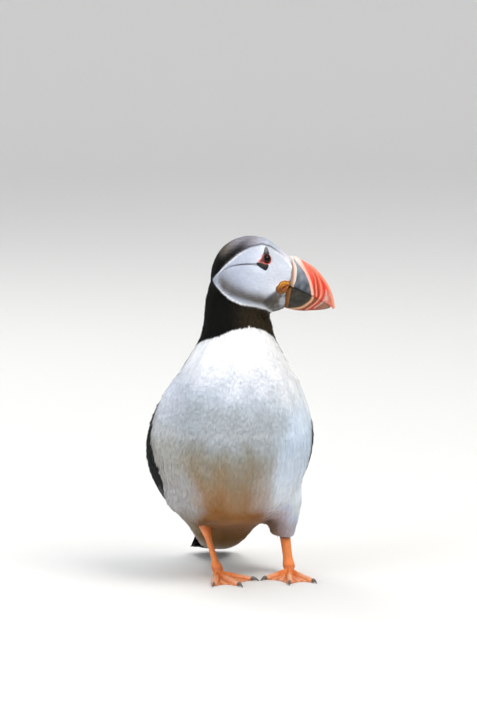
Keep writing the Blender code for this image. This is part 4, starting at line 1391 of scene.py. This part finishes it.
billShape = {
    # cutting edge (ahead, up), ridge (ahead, up) and half width, from the root to the tip
    "upper": [
        (28.5, -8.0, 29.1, 11.8, 8.8),
        (31.3, -9.0, 32.3, 10.8, 8.1),
        (35.2, -11.0, 37.8, 7.3, 7.0),
        (40.2, -13.5, 44.0, 2.5, 5.7),
        (45.2, -16.2, 49.8, -4.2, 4.4),
        (49.6, -18.6, 53.4, -10.4, 3.3),
        (53.0, -20.9, 55.5, -16.8, 2.2),
        (55.3, -23.4, 56.4, -22.6, 1.0),
    ],
    "lower": [
        (28.1, -8.4, 25.7, -22.8, 8.0),
        (33.0, -10.3, 30.6, -23.9, 7.0),
        (38.4, -12.75, 36.0, -24.4, 5.7),
        (43.8, -15.52, 41.5, -24.2, 4.4),
        (48.3, -17.97, 46.8, -23.9, 3.2),
        (51.7, -20.15, 51.0, -23.3, 2.1),
        (53.6, -21.7, 53.3, -22.6, 1.0),
    ],
    "sharpness": 1.75,
    "plateRidge": [(31.4, 9.8), (33.0, 7.8), (36.4, 2.9), (38.6, -0.9), (40.5, -5.7), (41.4, -9.6),
                   (42.0, -13.4)],
    "lowRidge": [(42.4, -14.2), (41.3, -17.2), (38.4, -19.8), (34.9, -21.9), (30.5, -22.8), (25.6, -23.2)],
    "ridgeHeight": 0.45,
    # each groove runs from the upper ridge across the gape and under the chin: depth, width, colour, points
    "grooves": [
        (0.3, 0.8, "groove", [(40.3, 3.2), (42.1, -0.2), (43.0, -4.5), (43.2, -8.8), (43.4, -12.0),
                              (43.6, -15.2), (41.8, -18.9), (38.6, -21.8), (35.6, -24.0)]),
        (0.34, 1.2, "groove", [(42.1, 1.7), (44.6, -3.2), (45.5, -8.1), (45.9, -11.8), (46.0, -14.3),
                               (44.6, -16.9), (42.3, -19.9), (39.2, -22.5), (37.6, -24.2)]),
        (0.2, 1.1, "crimson", [(46.4, -1.1), (48.5, -5.7), (49.5, -9.7), (49.6, -13.0), (48.0, -16.6),
                               (45.8, -18.9), (42.6, -21.6), (41.0, -23.8)]),
        (-0.12, 0.6, "rim", [(41.4, 1.9), (43.3, -2.6), (44.3, -7.2), (44.5, -11.8), (44.4, -14.6)]),
        (-0.16, 0.75, "rim", [(44.6, -0.2), (46.4, -4.2), (47.6, -8.8), (47.7, -12.4), (46.8, -15.7),
                              (44.7, -18.6), (41.1, -21.5), (38.0, -23.6)]),
        (-0.1, 0.5, "worn", [(50.6, -11.0), (51.0, -14.5), (49.4, -17.6), (46.4, -20.4), (43.3, -22.5)]),
    ],
}
billColours = {
    "plate": "#838a96",
    "plateLow": "#3a4046",
    "ridge": "#eeb39f",
    "ridgeTop": "#e4d0c8",
    "red": "#dc4127",
    "redLitTop": "#e4634b",
    "crimson": "#b52a20",
    "groove": "#7a2c12",
    "tip": "#b0796a",
    "lowTipShade": "#8a6450",
    "scuff": "#b9b3ac",
    "worn": "#c9a595",
    "rim": "#e59c7d",
    "lowRed": "#95442b",
    "lowPlate": "#18140a",
    "lowPlateLight": "#3d3629",
    "lowEdge": "#7d4a12",
    "lowRidge": "#cb9872",
    "cere": "#dcd5ca",
    "cerePink": "#cfae9b",
    "cereShade": "#8a6c5a",
}
billTone = tonesOf(billColours)


def billLoft(rows, first, last, rings, root, proud):
    # sections narrow to a round ridge; the root rings run on into the head
    share = np.sin(0.5 * math.pi * np.arange(35) / 34)
    width = (1 - share ** billShape["sharpness"]) ** 0.72
    grid = []
    for edgeX, edgeZ, ridgeX, ridgeZ, half in along(rows, first + (last - first) * np.linspace(0, 1, rings)):
        out = share * (1 + proud / math.hypot(ridgeX - edgeX, ridgeZ - edgeZ))
        x = edgeX + (ridgeX - edgeX) * out
        z = edgeZ + (ridgeZ - edgeZ) * out
        right, left = (np.column_stack([x, way * width * (half + proud), z]) for way in (-1, 1))
        grid.append(np.vstack([right, left[-2::-1]]))
    if root:
        start, middle = grid[0], grid[0].mean(axis=0)
        grid = [middle + (start - middle) * (1 - 0.1 * k) - (root * k, 0, 0) for k in (2, 1)] + grid
    return np.array(grid)


def line(gap, width, soft):
    return ramp(np.abs(gap), width * 0.5 + soft * 0.5, np.maximum(0.0, width * 0.5 - soft * 0.5))


def groovesOn(places, colour, share):
    # sunk lines and raised pale ones between them
    rise = np.zeros(len(places))
    low = ramp(places[:, 2], 1, -12)
    for depth, width, code, path in billShape["grooves"]:
        gap = fromLine(places[:, [0, 2]], path) + 0.12 * ripple(places, 4, 53)
        strength = 0.35 + 0.55 * low if depth > 0 else 0.3 + 0.5 * low
        colour = mixed(colour, billTone[code], line(gap, width, 0.8) * share * strength)
        rise = rise - line(gap, width + 0.2, 0.9) * depth * share
    return colour, rise


def upperLook(places):
    tone = billTone
    ahead, height, flat = places[:, 0], places[:, 2], places[:, [0, 2]]
    ridge = fromLine(flat, billShape["plateRidge"])  # above zero towards the tip
    table = np.array(billShape["upper"])
    culmen = fromLine(flat, table[:, 2:4])  # below zero inside the outline
    gape = fromLine(flat, table[:, 0:2])  # above zero over the cutting edge
    plate = np.clip(ramp(height, -13, 6) + 0.3 * ripple(places, 4, 51), 0, 1)
    # dark along the cutting edge: painted shade of the gap between the mandibles
    plate = painted(tone["plateLow"], tone, ("plate", plate), ("lowPlate", ramp(gape, 0.9, 0.2) * 0.8))
    tip = ramp(ahead - 0.25 * height, 48.5, 54.5) * ramp(height, -9, -14)
    slanting = places @ np.array([[1, 0, 0.5], [0, 0.3, 0], [-0.5, 0, 1]])
    scratches = ramp(ripple(slanting, 1.6, 55), 0.5, 0.9) * ramp(ahead, 47, 50) * ramp(height, -8, -13)
    # painted highlight: the red grows lighter towards the top
    red = painted(
        tone["red"],
        tone,
        ("redLitTop", ramp(height + 0.4 * ridge, -6, 7) * 0.8),
        ("tip", tip * (0.6 + 0.3 * ripple(places, 2.4, 52))),
        ("worn", scratches * 0.7),
        ("scuff", ramp(awayFrom(flat, (51.0, -16.2), (0.9, 1.6)), 1.4, 0.5) * 0.65),
    )
    red, rise = groovesOn(places, red, ramp(ridge, 0.5, 1.2))
    # painted highlight: a pale edge along the culmen
    red = mixed(red, tone["rim"], ramp(np.abs(culmen), 1.9, 0.5) * (0.6 + 0.25 * ramp(height, 0, -12)))
    ridgeTone = mixed(tone["ridge"], tone["ridgeTop"], ramp(height, 3, 9))
    colour = mixed(plate, red, ramp(ridge, 0.2, 1.0))
    colour = mixed(colour, ridgeTone, line(ridge - 0.1, 1.5 + 1.3 * ramp(height, 0, 9), 0.8))
    rise = rise - 0.25 * ramp(ridge, -0.8, -2.5) + line(ridge, 1.6, 1.2) * billShape["ridgeHeight"]
    return mottled(colour, places * (1, 1, 1.6), 0.07, 1.3, 54), rise


def lowerLook(places):
    tone = billTone
    ridge = fromLine(places[:, [0, 2]], billShape["lowRidge"])  # above zero outside the plate
    mottle = np.clip(0.2 + 0.5 * ripple(places * (0.6, 1, 1), 3, 61), 0, 1)
    plate = ("lowPlateLight", mottle), ("lowPlateLight", ramp(ridge, -2.6, -0.8) * 0.6)
    plate = painted(tone["lowPlate"], tone, *plate)
    # painted shade: the lower mandible darkens towards its tip
    red = mixed(tone["lowRed"], tone["lowTipShade"], ramp(places[:, 0], 43, 50))
    red, rise = groovesOn(places, red, ramp(ridge, 0.4, 1.0))
    back = places[:, 0] - (27.9 + (places[:, 2] + 8.6) * 0.17)
    colour = mixed(red, plate, ramp(-ridge, 0.0, 0.8))
    colour = painted(colour, tone, ("lowRidge", line(ridge - 0.2, 1.4, 0.8)), ("lowEdge", ramp(back, 1.1, 0.6)))
    rise = rise + line(ridge, 1.5, 1.2) * 0.35 + ramp(back, 1.3, 0.6) * 0.25
    return mottled(colour, places, 0.1, 1.5, 62), rise


def cereBulge(height):
    # how far the band's edges curve forward between chin and forehead
    return np.clip(1 - ((height - 1.0) / 11) ** 2, -0.3, 1)


def cereLook(places):
    height = places[:, 2]
    back = places[:, 0] - 28.1 - 1.6 * cereBulge(height)
    colour = painted(
        billTone["cerePink"],
        billTone,
        ("cere", ramp(back, 0.9, 2.0)),
        ("cere", ramp(height, 4, 8)),
        ("cereShade", ramp(back, 0.75, 0.3) * 0.8 * ramp(height, 10, 6)),
        ("lowEdge", ramp(height, -5.5, -9) * 0.6),
    )
    rise = 0.3 * bell(back - 1.6, 1.0) + 0.07 * ripple(places, 1.0, 71)
    return mottled(colour, places, 0.07, 1.0, 71), rise


def billPiece(name, grid, look, material, slot):
    places = grid.reshape(-1, 3)
    colour, rise = look(places)
    side = ramp(np.abs(places[:, 1]), 0.2, 2.0) * np.sign(places[:, 1])
    onTop = 0.5 * rise * (1 - np.abs(side)) * (name != "bill_lower")
    places = places + np.column_stack([0 * rise, rise * side, onTop])
    mesh = loftMesh(name, fromHead(places).reshape(grid.shape), colour)
    finishPiece(name + "_horn", mesh, material, slot, name)


def makeBill():
    upperRows = np.array(billShape["upper"])
    upperRows[:3, 3] -= (1.3, 1.1, 0.6)  # the ridge starts lower, under the forehead's feathers
    grid = billLoft(upperRows, 0.0, 0.82, 14, 1.6, 0.35)
    height, toFront = grid[:, :, 2], np.linspace(0, 1, len(grid))[:, None]
    grid[:, :, 0] += 1.6 * cereBulge(height) * (1 - 0.25 * toFront) - 0.3
    grid[:, :, 0] -= toFront * (1.6 * ramp(height, 3, 8) + 0.7 * ramp(height, -4, -7))
    billPiece("bill_cere", grid, cereLook, cereSkin, "cere")
    billPiece("bill_upper", billLoft(upperRows, 0.15, 7.0, 136, 0.0, 0.0), upperLook, billKeratin, "bill_horn")
    lower = billLoft(billShape["lower"], 0.0, 6.0, 110, 1.5, 0.0)
    billPiece("bill_lower", lower, lowerLook, billKeratin, "bill_horn")


makeBill()


# ---- eyes, their rings and plates, and the gape rosettes

eyeShape = {
    "radius": 3.3,
    "opening": (2.25, 2.95),  # half size of the opening between the lids, ahead and up
    "lids": (3.45, 3.75),  # half size of the bare skin round it
    # where the lids are drawn out: the direction, how far, how sharply, for the rear corner and the crest
    "drawnOut": [(203, 2.9, 26), (96, 0.3, 40)],
    "pupil": (1.7, 2.1),  # where the pupil gives way to the iris, and the iris to its dark edge
    "iris": (2.5, 3.0),
    # how far the lids stand over the eyeball, over the skin inside and outside, and how thick they are
    "lidHeights": (0.14, 0.45, 0.25, 0.9),
    # the horny plates, as outlines (ahead, up) round the middle of the eye
    "upperPlate": [(-1.9, 2.5), (-1.4, 4.4), (-1.0, 6.4), (-0.2, 7.6), (1.0, 6.8), (1.8, 4.7), (2.1, 2.5),
                   (0.1, 2.6)],
    "lowerPlate": [(-6.1, -2.3), (-4.8, -1.5), (-2.6, -2.0), (-0.5, -2.95), (1.4, -3.2), (1.5, -4.8),
                   (-0.1, -6.7), (-2.3, -5.6), (-4.7, -4.0)],
    "plateHeight": 0.75,
}
eyeColours = {
    "pupil": "#020202",
    "iris": "#1b0e08",
    "irisEdge": "#080505",
    "lidEdge": "#7d2624",
    "lid": "#d4605a",
    "lidPale": "#eaa298",
    "corner": "#33201e",
    "underPlate": "#4a3432",
    "plateLow": "#0d0d09",
    "plate": "#35322f",
    "plateTip": "#66666e",
    "claw": "#55514e",
    "clawTop": "#8a817a",
}
eyeTone = tonesOf(eyeColours)


def onFace(flat, sign):
    # the skin on one side of the head at a place (ahead, up) from its middle, and the way out there
    outside, cheek, innermost = 30.0, 9.0, 6.0  # millimetres from the head's middle plane
    out = headLeft * sign
    start = fromHead(np.array([flat[0], sign * outside, flat[1]]))
    spot, normal, _, _ = skinTree.ray_cast(Vector(start) * mm, Vector(-out))
    if spot is None or inHead(np.array(spot) / mm)[1] * sign < innermost:
        spot, normal, _, _ = skinTree.find_nearest(Vector(start - out * (outside - cheek)) * mm)
    return np.array(spot) / mm, unit(np.array(normal) + out)


def seatOf(side):
    # the middle of the eye, with its own ahead, up and outward directions
    middle = middleOf("eye_" + side)
    out = unit(middleOf("eye_ring_" + side) - middle)
    ahead = unit(headAhead - out * (headAhead @ out))
    return middle, np.array([ahead, unit(up - out * (up @ out) - ahead * (up @ ahead)), out])


def makeEyeball(side, middle, ways):
    turns = np.linspace(0, math.pi, 25)[1:-1, None]
    rounds = np.linspace(0, 2 * math.pi, 40, endpoint=False)
    ball = np.stack(
        [np.sin(turns) * np.cos(rounds), np.sin(turns) * np.sin(rounds), np.cos(turns) + 0 * rounds], axis=-1
    )
    ball = ball * eyeShape["radius"]
    fromAxis = np.hypot(ball[..., 0], ball[..., 1]).ravel()
    inIris, atEdge = ramp(fromAxis, *eyeShape["pupil"]), ramp(fromAxis, *eyeShape["iris"])
    colour = painted(eyeTone["pupil"], eyeTone, ("iris", inIris), ("irisEdge", atEdge))
    mesh = loftMesh("eyeball", middle + ball @ ways, colour)
    finishPiece("eyeball_" + side, mesh, corneaAndIris, "eye", "eye_" + side)


def makeEyelids(side, middle, ways):
    # bare skin: a flat ring that hugs the eyeball, drawn out to a corner at the rear
    count, steps, soft = 96, 9, 0.3
    overBall, inside, outside, thick = eyeShape["lidHeights"]
    grid = np.zeros((count, 2 * steps, 3))
    share = np.array([*range(steps), *range(steps)[::-1]]) / (steps - 1)
    for i in range(count):
        angle = 2 * math.pi * i / count
        way = np.array([math.cos(angle), math.sin(angle)])
        inner = way * eyeShape["opening"]
        outer = way * eyeShape["lids"]
        for where, reach, sharp in eyeShape["drawnOut"]:
            outer = outer + way * reach * max(0.0, math.cos(angle - math.radians(where))) ** sharp
        for j in range(steps):
            spot = inner + (outer - inner) * share[j]
            onBall = math.sqrt(max(0.0, (eyeShape["radius"] + overBall) ** 2 - spot @ spot))
            start = middle + np.array([*spot, 9]) @ ways
            hit = skinTree.ray_cast(Vector(start) * mm, Vector(-ways[2]))[0]
            overSkin = inside + (outside - inside) * share[j]
            onSkin = (np.array(hit) / mm - middle) @ ways[2] + overSkin if hit else onBall
            height = (onBall + onSkin + math.hypot(onBall - onSkin, soft)) / 2 if j < steps - 1 else onSkin
            grid[i, j] = (*spot, height)
            grid[i, -1 - j] = (*spot, min(onBall, onSkin) - thick)
    places = grid.reshape(-1, 3)
    ahead, height, share = places[:, 0], places[:, 1], np.tile(share, count)
    red = painted(
        eyeTone["lidEdge"],
        eyeTone,
        ("lid", ramp(share, 0.15, 0.6)),
        ("lidPale", ramp(share, 0.6, 1.0) * ramp(ahead, -1.0, -3.5)),
        ("corner", ramp(share, 0.86, 0.6) * ramp(ahead, -2.0, -3.2) * 0.7),
        ("underPlate", ramp(height, 1.6, 3.2) * ramp(ahead, 2.6, 1.4) * 0.8),
    )
    red = mottled(red, places, 0.1, 0.9, 85)
    mesh = loftMesh("eyeRing", middle + grid @ ways, red, joined=True)
    finishPiece("eyelid_" + side, mesh, eyelidSkin, "red_eye_ring", "eye_ring_" + side)


def makePlate(which, side, sign):
    # a horny plate domed over the skin, the upper one slate with a pale tip, the lower one almost black
    outline = [inHead(middleOf("eye_" + side))[[0, 2]] + spot for spot in eyeShape[which + "Plate"]]
    count = 56
    border = along([outline[-1], *outline, *outline[:2]], 1 + len(outline) * np.arange(count) / count)
    centre = border.mean(axis=0)
    profile = [(1.0, -0.7), (1.0, 0.0), (0.94, 0.55), (0.82, 0.85), (0.6, 1.0), (0.3, 1.02), (0.03, 1.0)]
    grid = np.zeros((len(profile), count, 3))
    for i, (share, high) in enumerate(profile):
        for j, spot in enumerate(centre + (border - centre) * share):
            skin, out = onFace(spot, sign)
            grid[i, j] = skin + out * (eyeShape["plateHeight"] * high if high > 0 else high)
    points = grid.reshape(-1, 3)
    height = inHead(points)[:, 2] - eyeCentre[1]
    layers = ("plate", ramp(height, -3, 2.5)), ("plateTip", ramp(height, 3.4, 6.6))
    colour = mottled(painted(eyeTone["plateLow"], eyeTone, *layers), points, 0.2, 1.1, 81)
    mesh = loftMesh("plate", grid, colour)
    finishPiece(f"eyePlate_{which}_{side}", mesh, slateHorn, "slate_plate", f"eye_plate_{which}_{side}")


clawShape = {"finer": 3, "smoothing": 6}


def makeClaw(side, toe):
    # the CAD claw made finer and rounded
    node = f"claw_{side}_{toe}"
    holder = addObject(node, meshFrom(copyOf(node), node))
    finer = holder.modifiers.new("finer", "SUBSURF")
    finer.subdivision_type = "SIMPLE"
    finer.levels = finer.render_levels = clawShape["finer"]
    mesh = settled(holder, node)
    place(mesh, smoothed(pointsOf(mesh), edgesOf(mesh), clawShape["smoothing"]))
    points = pointsOf(mesh)
    colour = mixed(eyeTone["claw"], eyeTone["clawTop"], ramp(points[:, 2], 1.2, 2.6) * 0.5)
    tint(mesh, mottled(colour, points * (1, 1, 2), 0.15, 1.5, 82))
    finishPiece(f"talon_{side}_{toe}", mesh, clawKeratin, "dark_claw", node)


rosette = {
    "size": (5.3, 3.9),
    "tilt": 34,  # degrees, its front end up
    "height": 1.5,
    "yellow": "#b37000",
    "lit": "#df9c12",
    "fold": "#613500",
    "core": "#833600",
    "rear": "#5a3200",
}


def makeRosette(side, sign):
    # wrinkled folds round a slit, with painted light on the upper front and on the folds' crests, and painted
    # shade in their troughs and over the lower rear
    middle = eyeCentre + gapeFromEye
    tilt = math.radians(rosette["tilt"])
    turn = np.array([[math.cos(tilt), math.sin(tilt)], [-math.sin(tilt), math.cos(tilt)]])
    rings, count = 26, 80
    grid = np.zeros((rings, count, 3))
    marks = np.zeros((rings, count, 3))
    for i in range(rings):
        share = 1 - max(0, i - 1) / (rings - 2) * 0.97
        for j in range(count):
            angle = 2 * math.pi * j / count
            lobe = 1 + 0.05 * math.sin(5 * angle + 1) + 0.03 * math.sin(9 * angle)
            x = rosette["size"][0] * share * lobe * math.cos(angle)
            y = rosette["size"][1] * share * lobe * math.sin(angle)
            wave = math.cos(share * 2 * math.pi * 2.7 + 0.6 * math.sin(3 * angle) + 0.5)
            crinkle = 0.1 * math.sin(19 * angle + 9 * share) * share
            slit = bell(y, 0.5) * ramp(abs(x), 3.4, 2.0)
            dome = rosette["height"] * (1 - share**3.2) ** 0.6
            height = dome + (0.24 * wave + crinkle) * ramp(share, 1.0, 0.85) - 0.8 * slit
            skin, out = onFace(middle + np.array([x, y]) @ turn, sign)
            grid[i, j] = skin + out * (height if i else -0.9)
            marks[i, j] = (wave, slit, share)
    wave, slit, share = marks.reshape(-1, 3).T
    points = grid.reshape(-1, 3)
    # painted light on the upper front, and painted shade towards the lower rear
    lit = inHead(points)[:, [0, 2]] - middle
    lit = ramp(lit[:, 1] + 0.5 * lit[:, 0], -3.2, 2.2)
    blotch = ripple(points, 1.1, 86)
    tone = tonesOf(rosette)
    colour = painted(
        tone["yellow"],
        tone,
        ("lit", ramp(wave, 0.2, 1.0) * (0.2 + 0.5 * lit)),
        ("fold", ramp(wave, -0.1, -0.9) * 0.45),
        ("rear", np.clip((1 - lit) * (0.85 + 0.3 * blotch) + 0.15 * blotch, 0, 1)),
        ("core", np.clip(slit + ramp(share, 0.5, 0.25) * 0.7, 0, 1)),
    )
    mesh = loftMesh("rosette", grid, colour)
    finishPiece("gapeFold_" + side, mesh, gapeSkin, "yellow_rosette", "gape_rosette_" + side)


for side, sign in sides.items():
    makeEyeball(side, *seatOf(side))
    makeEyelids(side, *seatOf(side))
    for which in ("upper", "lower"):
        makePlate(which, side, sign)
    makeRosette(side, sign)
    for toe in toes:
        makeClaw(side, toe)


# ---- floor, light and camera

studio = {
    "floor": "#e4e3e0",
    "sky": "#eef1f6",
    "skyStrength": 1.0,
    "radius": 4.6,
    "bend": 1.4,
    "wall": 4.0,
    "lamps": {
        # place in metres, size, watts, colour
        "key": ((0.7, -1.15, 1.7), 1.2, 25, "#fffbf5"),
        "fill": ((-1.6, -1.1, 0.9), 1.5, 19, "#eef3ff"),
        "rim": ((-0.5, 1.4, 1.4), 0.9, 10, "#ffffff"),
    },
    "aim": (0, 0, 0.12),  # where the lamps point
}
view = {
    "azimuth": -12.0,  # degrees round from straight in front of the breast
    "elevation": 7.0,
    "distance": 3.0,
    "frameHeight": 0.4608,  # metres across the long side of the picture, at the bird
    "footprint": (-2.26, -31.56, 0),  # the footprint's middle
    "aim": (1.6, 140.8),  # where the view is centred, millimetres right and up from the footprint's middle
}


def makeFloor():
    # a round paper sweep: flat underfoot, and curved up to a wall on every side
    radius, bend, count = studio["radius"], studio["bend"], 96
    profile = [(0.02, 0.0), (1.0, 0.0)]
    for turn in np.linspace(0, math.pi / 2, 16):
        profile.append((radius - bend + bend * math.sin(turn), bend - bend * math.cos(turn)))
    profile.append((radius, studio["wall"]))
    angles = np.linspace(0, 2 * math.pi, count, endpoint=False)
    points = [(r * math.cos(t), r * math.sin(t), z) for r, z in profile for t in angles]
    faces = [tuple(range(count))] + [(a, d, c, b) for a, b, c, d in ringFaces(len(profile), count)]
    mesh = meshOf("floor", points, faces, 1)
    mesh.shade_smooth()
    # matte paper, pressed smooth but not glazed
    paper, _, shader = newMaterial("mattePaper", {"Roughness": 0.85, "IOR": 1.45, "Specular IOR Level": 0.2})
    shader.inputs["Base Color"].default_value = (*toLinear(studio["floor"]), 1.0)
    mesh.materials.append(paper)
    addObject("floor", mesh)


def makeLight():
    world = bpy.data.worlds.new("studio")
    bpy.context.scene.world = world
    world.use_nodes = True
    sky = world.node_tree.nodes["Background"]
    sky.inputs["Color"].default_value = (*toLinear(studio["sky"]), 1.0)
    sky.inputs["Strength"].default_value = studio["skyStrength"]
    for name, (spot, size, watts, colour) in studio["lamps"].items():
        lamp = bpy.data.lights.new(name, "AREA")
        lamp.shape = "DISK"
        lamp.size = size
        lamp.energy = watts
        lamp.color = toLinear(colour)
        holder = addObject(name, lamp)
        holder.location = spot
        toObject = Vector(studio["aim"]) - Vector(spot)
        holder.rotation_euler = toObject.to_track_quat("-Z", "Y").to_euler()


def makeCamera():
    a, e = math.radians(view["azimuth"]), math.radians(view["elevation"])
    right = Vector((math.cos(a), math.sin(a), 0))
    back = Vector((math.sin(a) * math.cos(e), -math.cos(a) * math.cos(e), math.sin(e)))
    lens = bpy.data.cameras.new("camera")
    lens.sensor_width = 36
    lens.lens = 36 * view["distance"] / view["frameHeight"]
    lens.clip_end = 50
    camera = addObject("camera", lens)
    target = Vector(view["footprint"]) + right * view["aim"][0] + back.cross(right) * view["aim"][1]
    camera.location = target * mm + back * view["distance"]
    camera.rotation_euler = (-back).to_track_quat("-Z", "Y").to_euler()
    bpy.context.scene.camera = camera


makeFloor()
makeLight()
makeCamera()
bpy.context.scene.view_settings.view_transform = "Standard"
for helper in (drape, fineLock, bodyLock, covertVane):
    bpy.data.objects.remove(helper)
print("studio set")
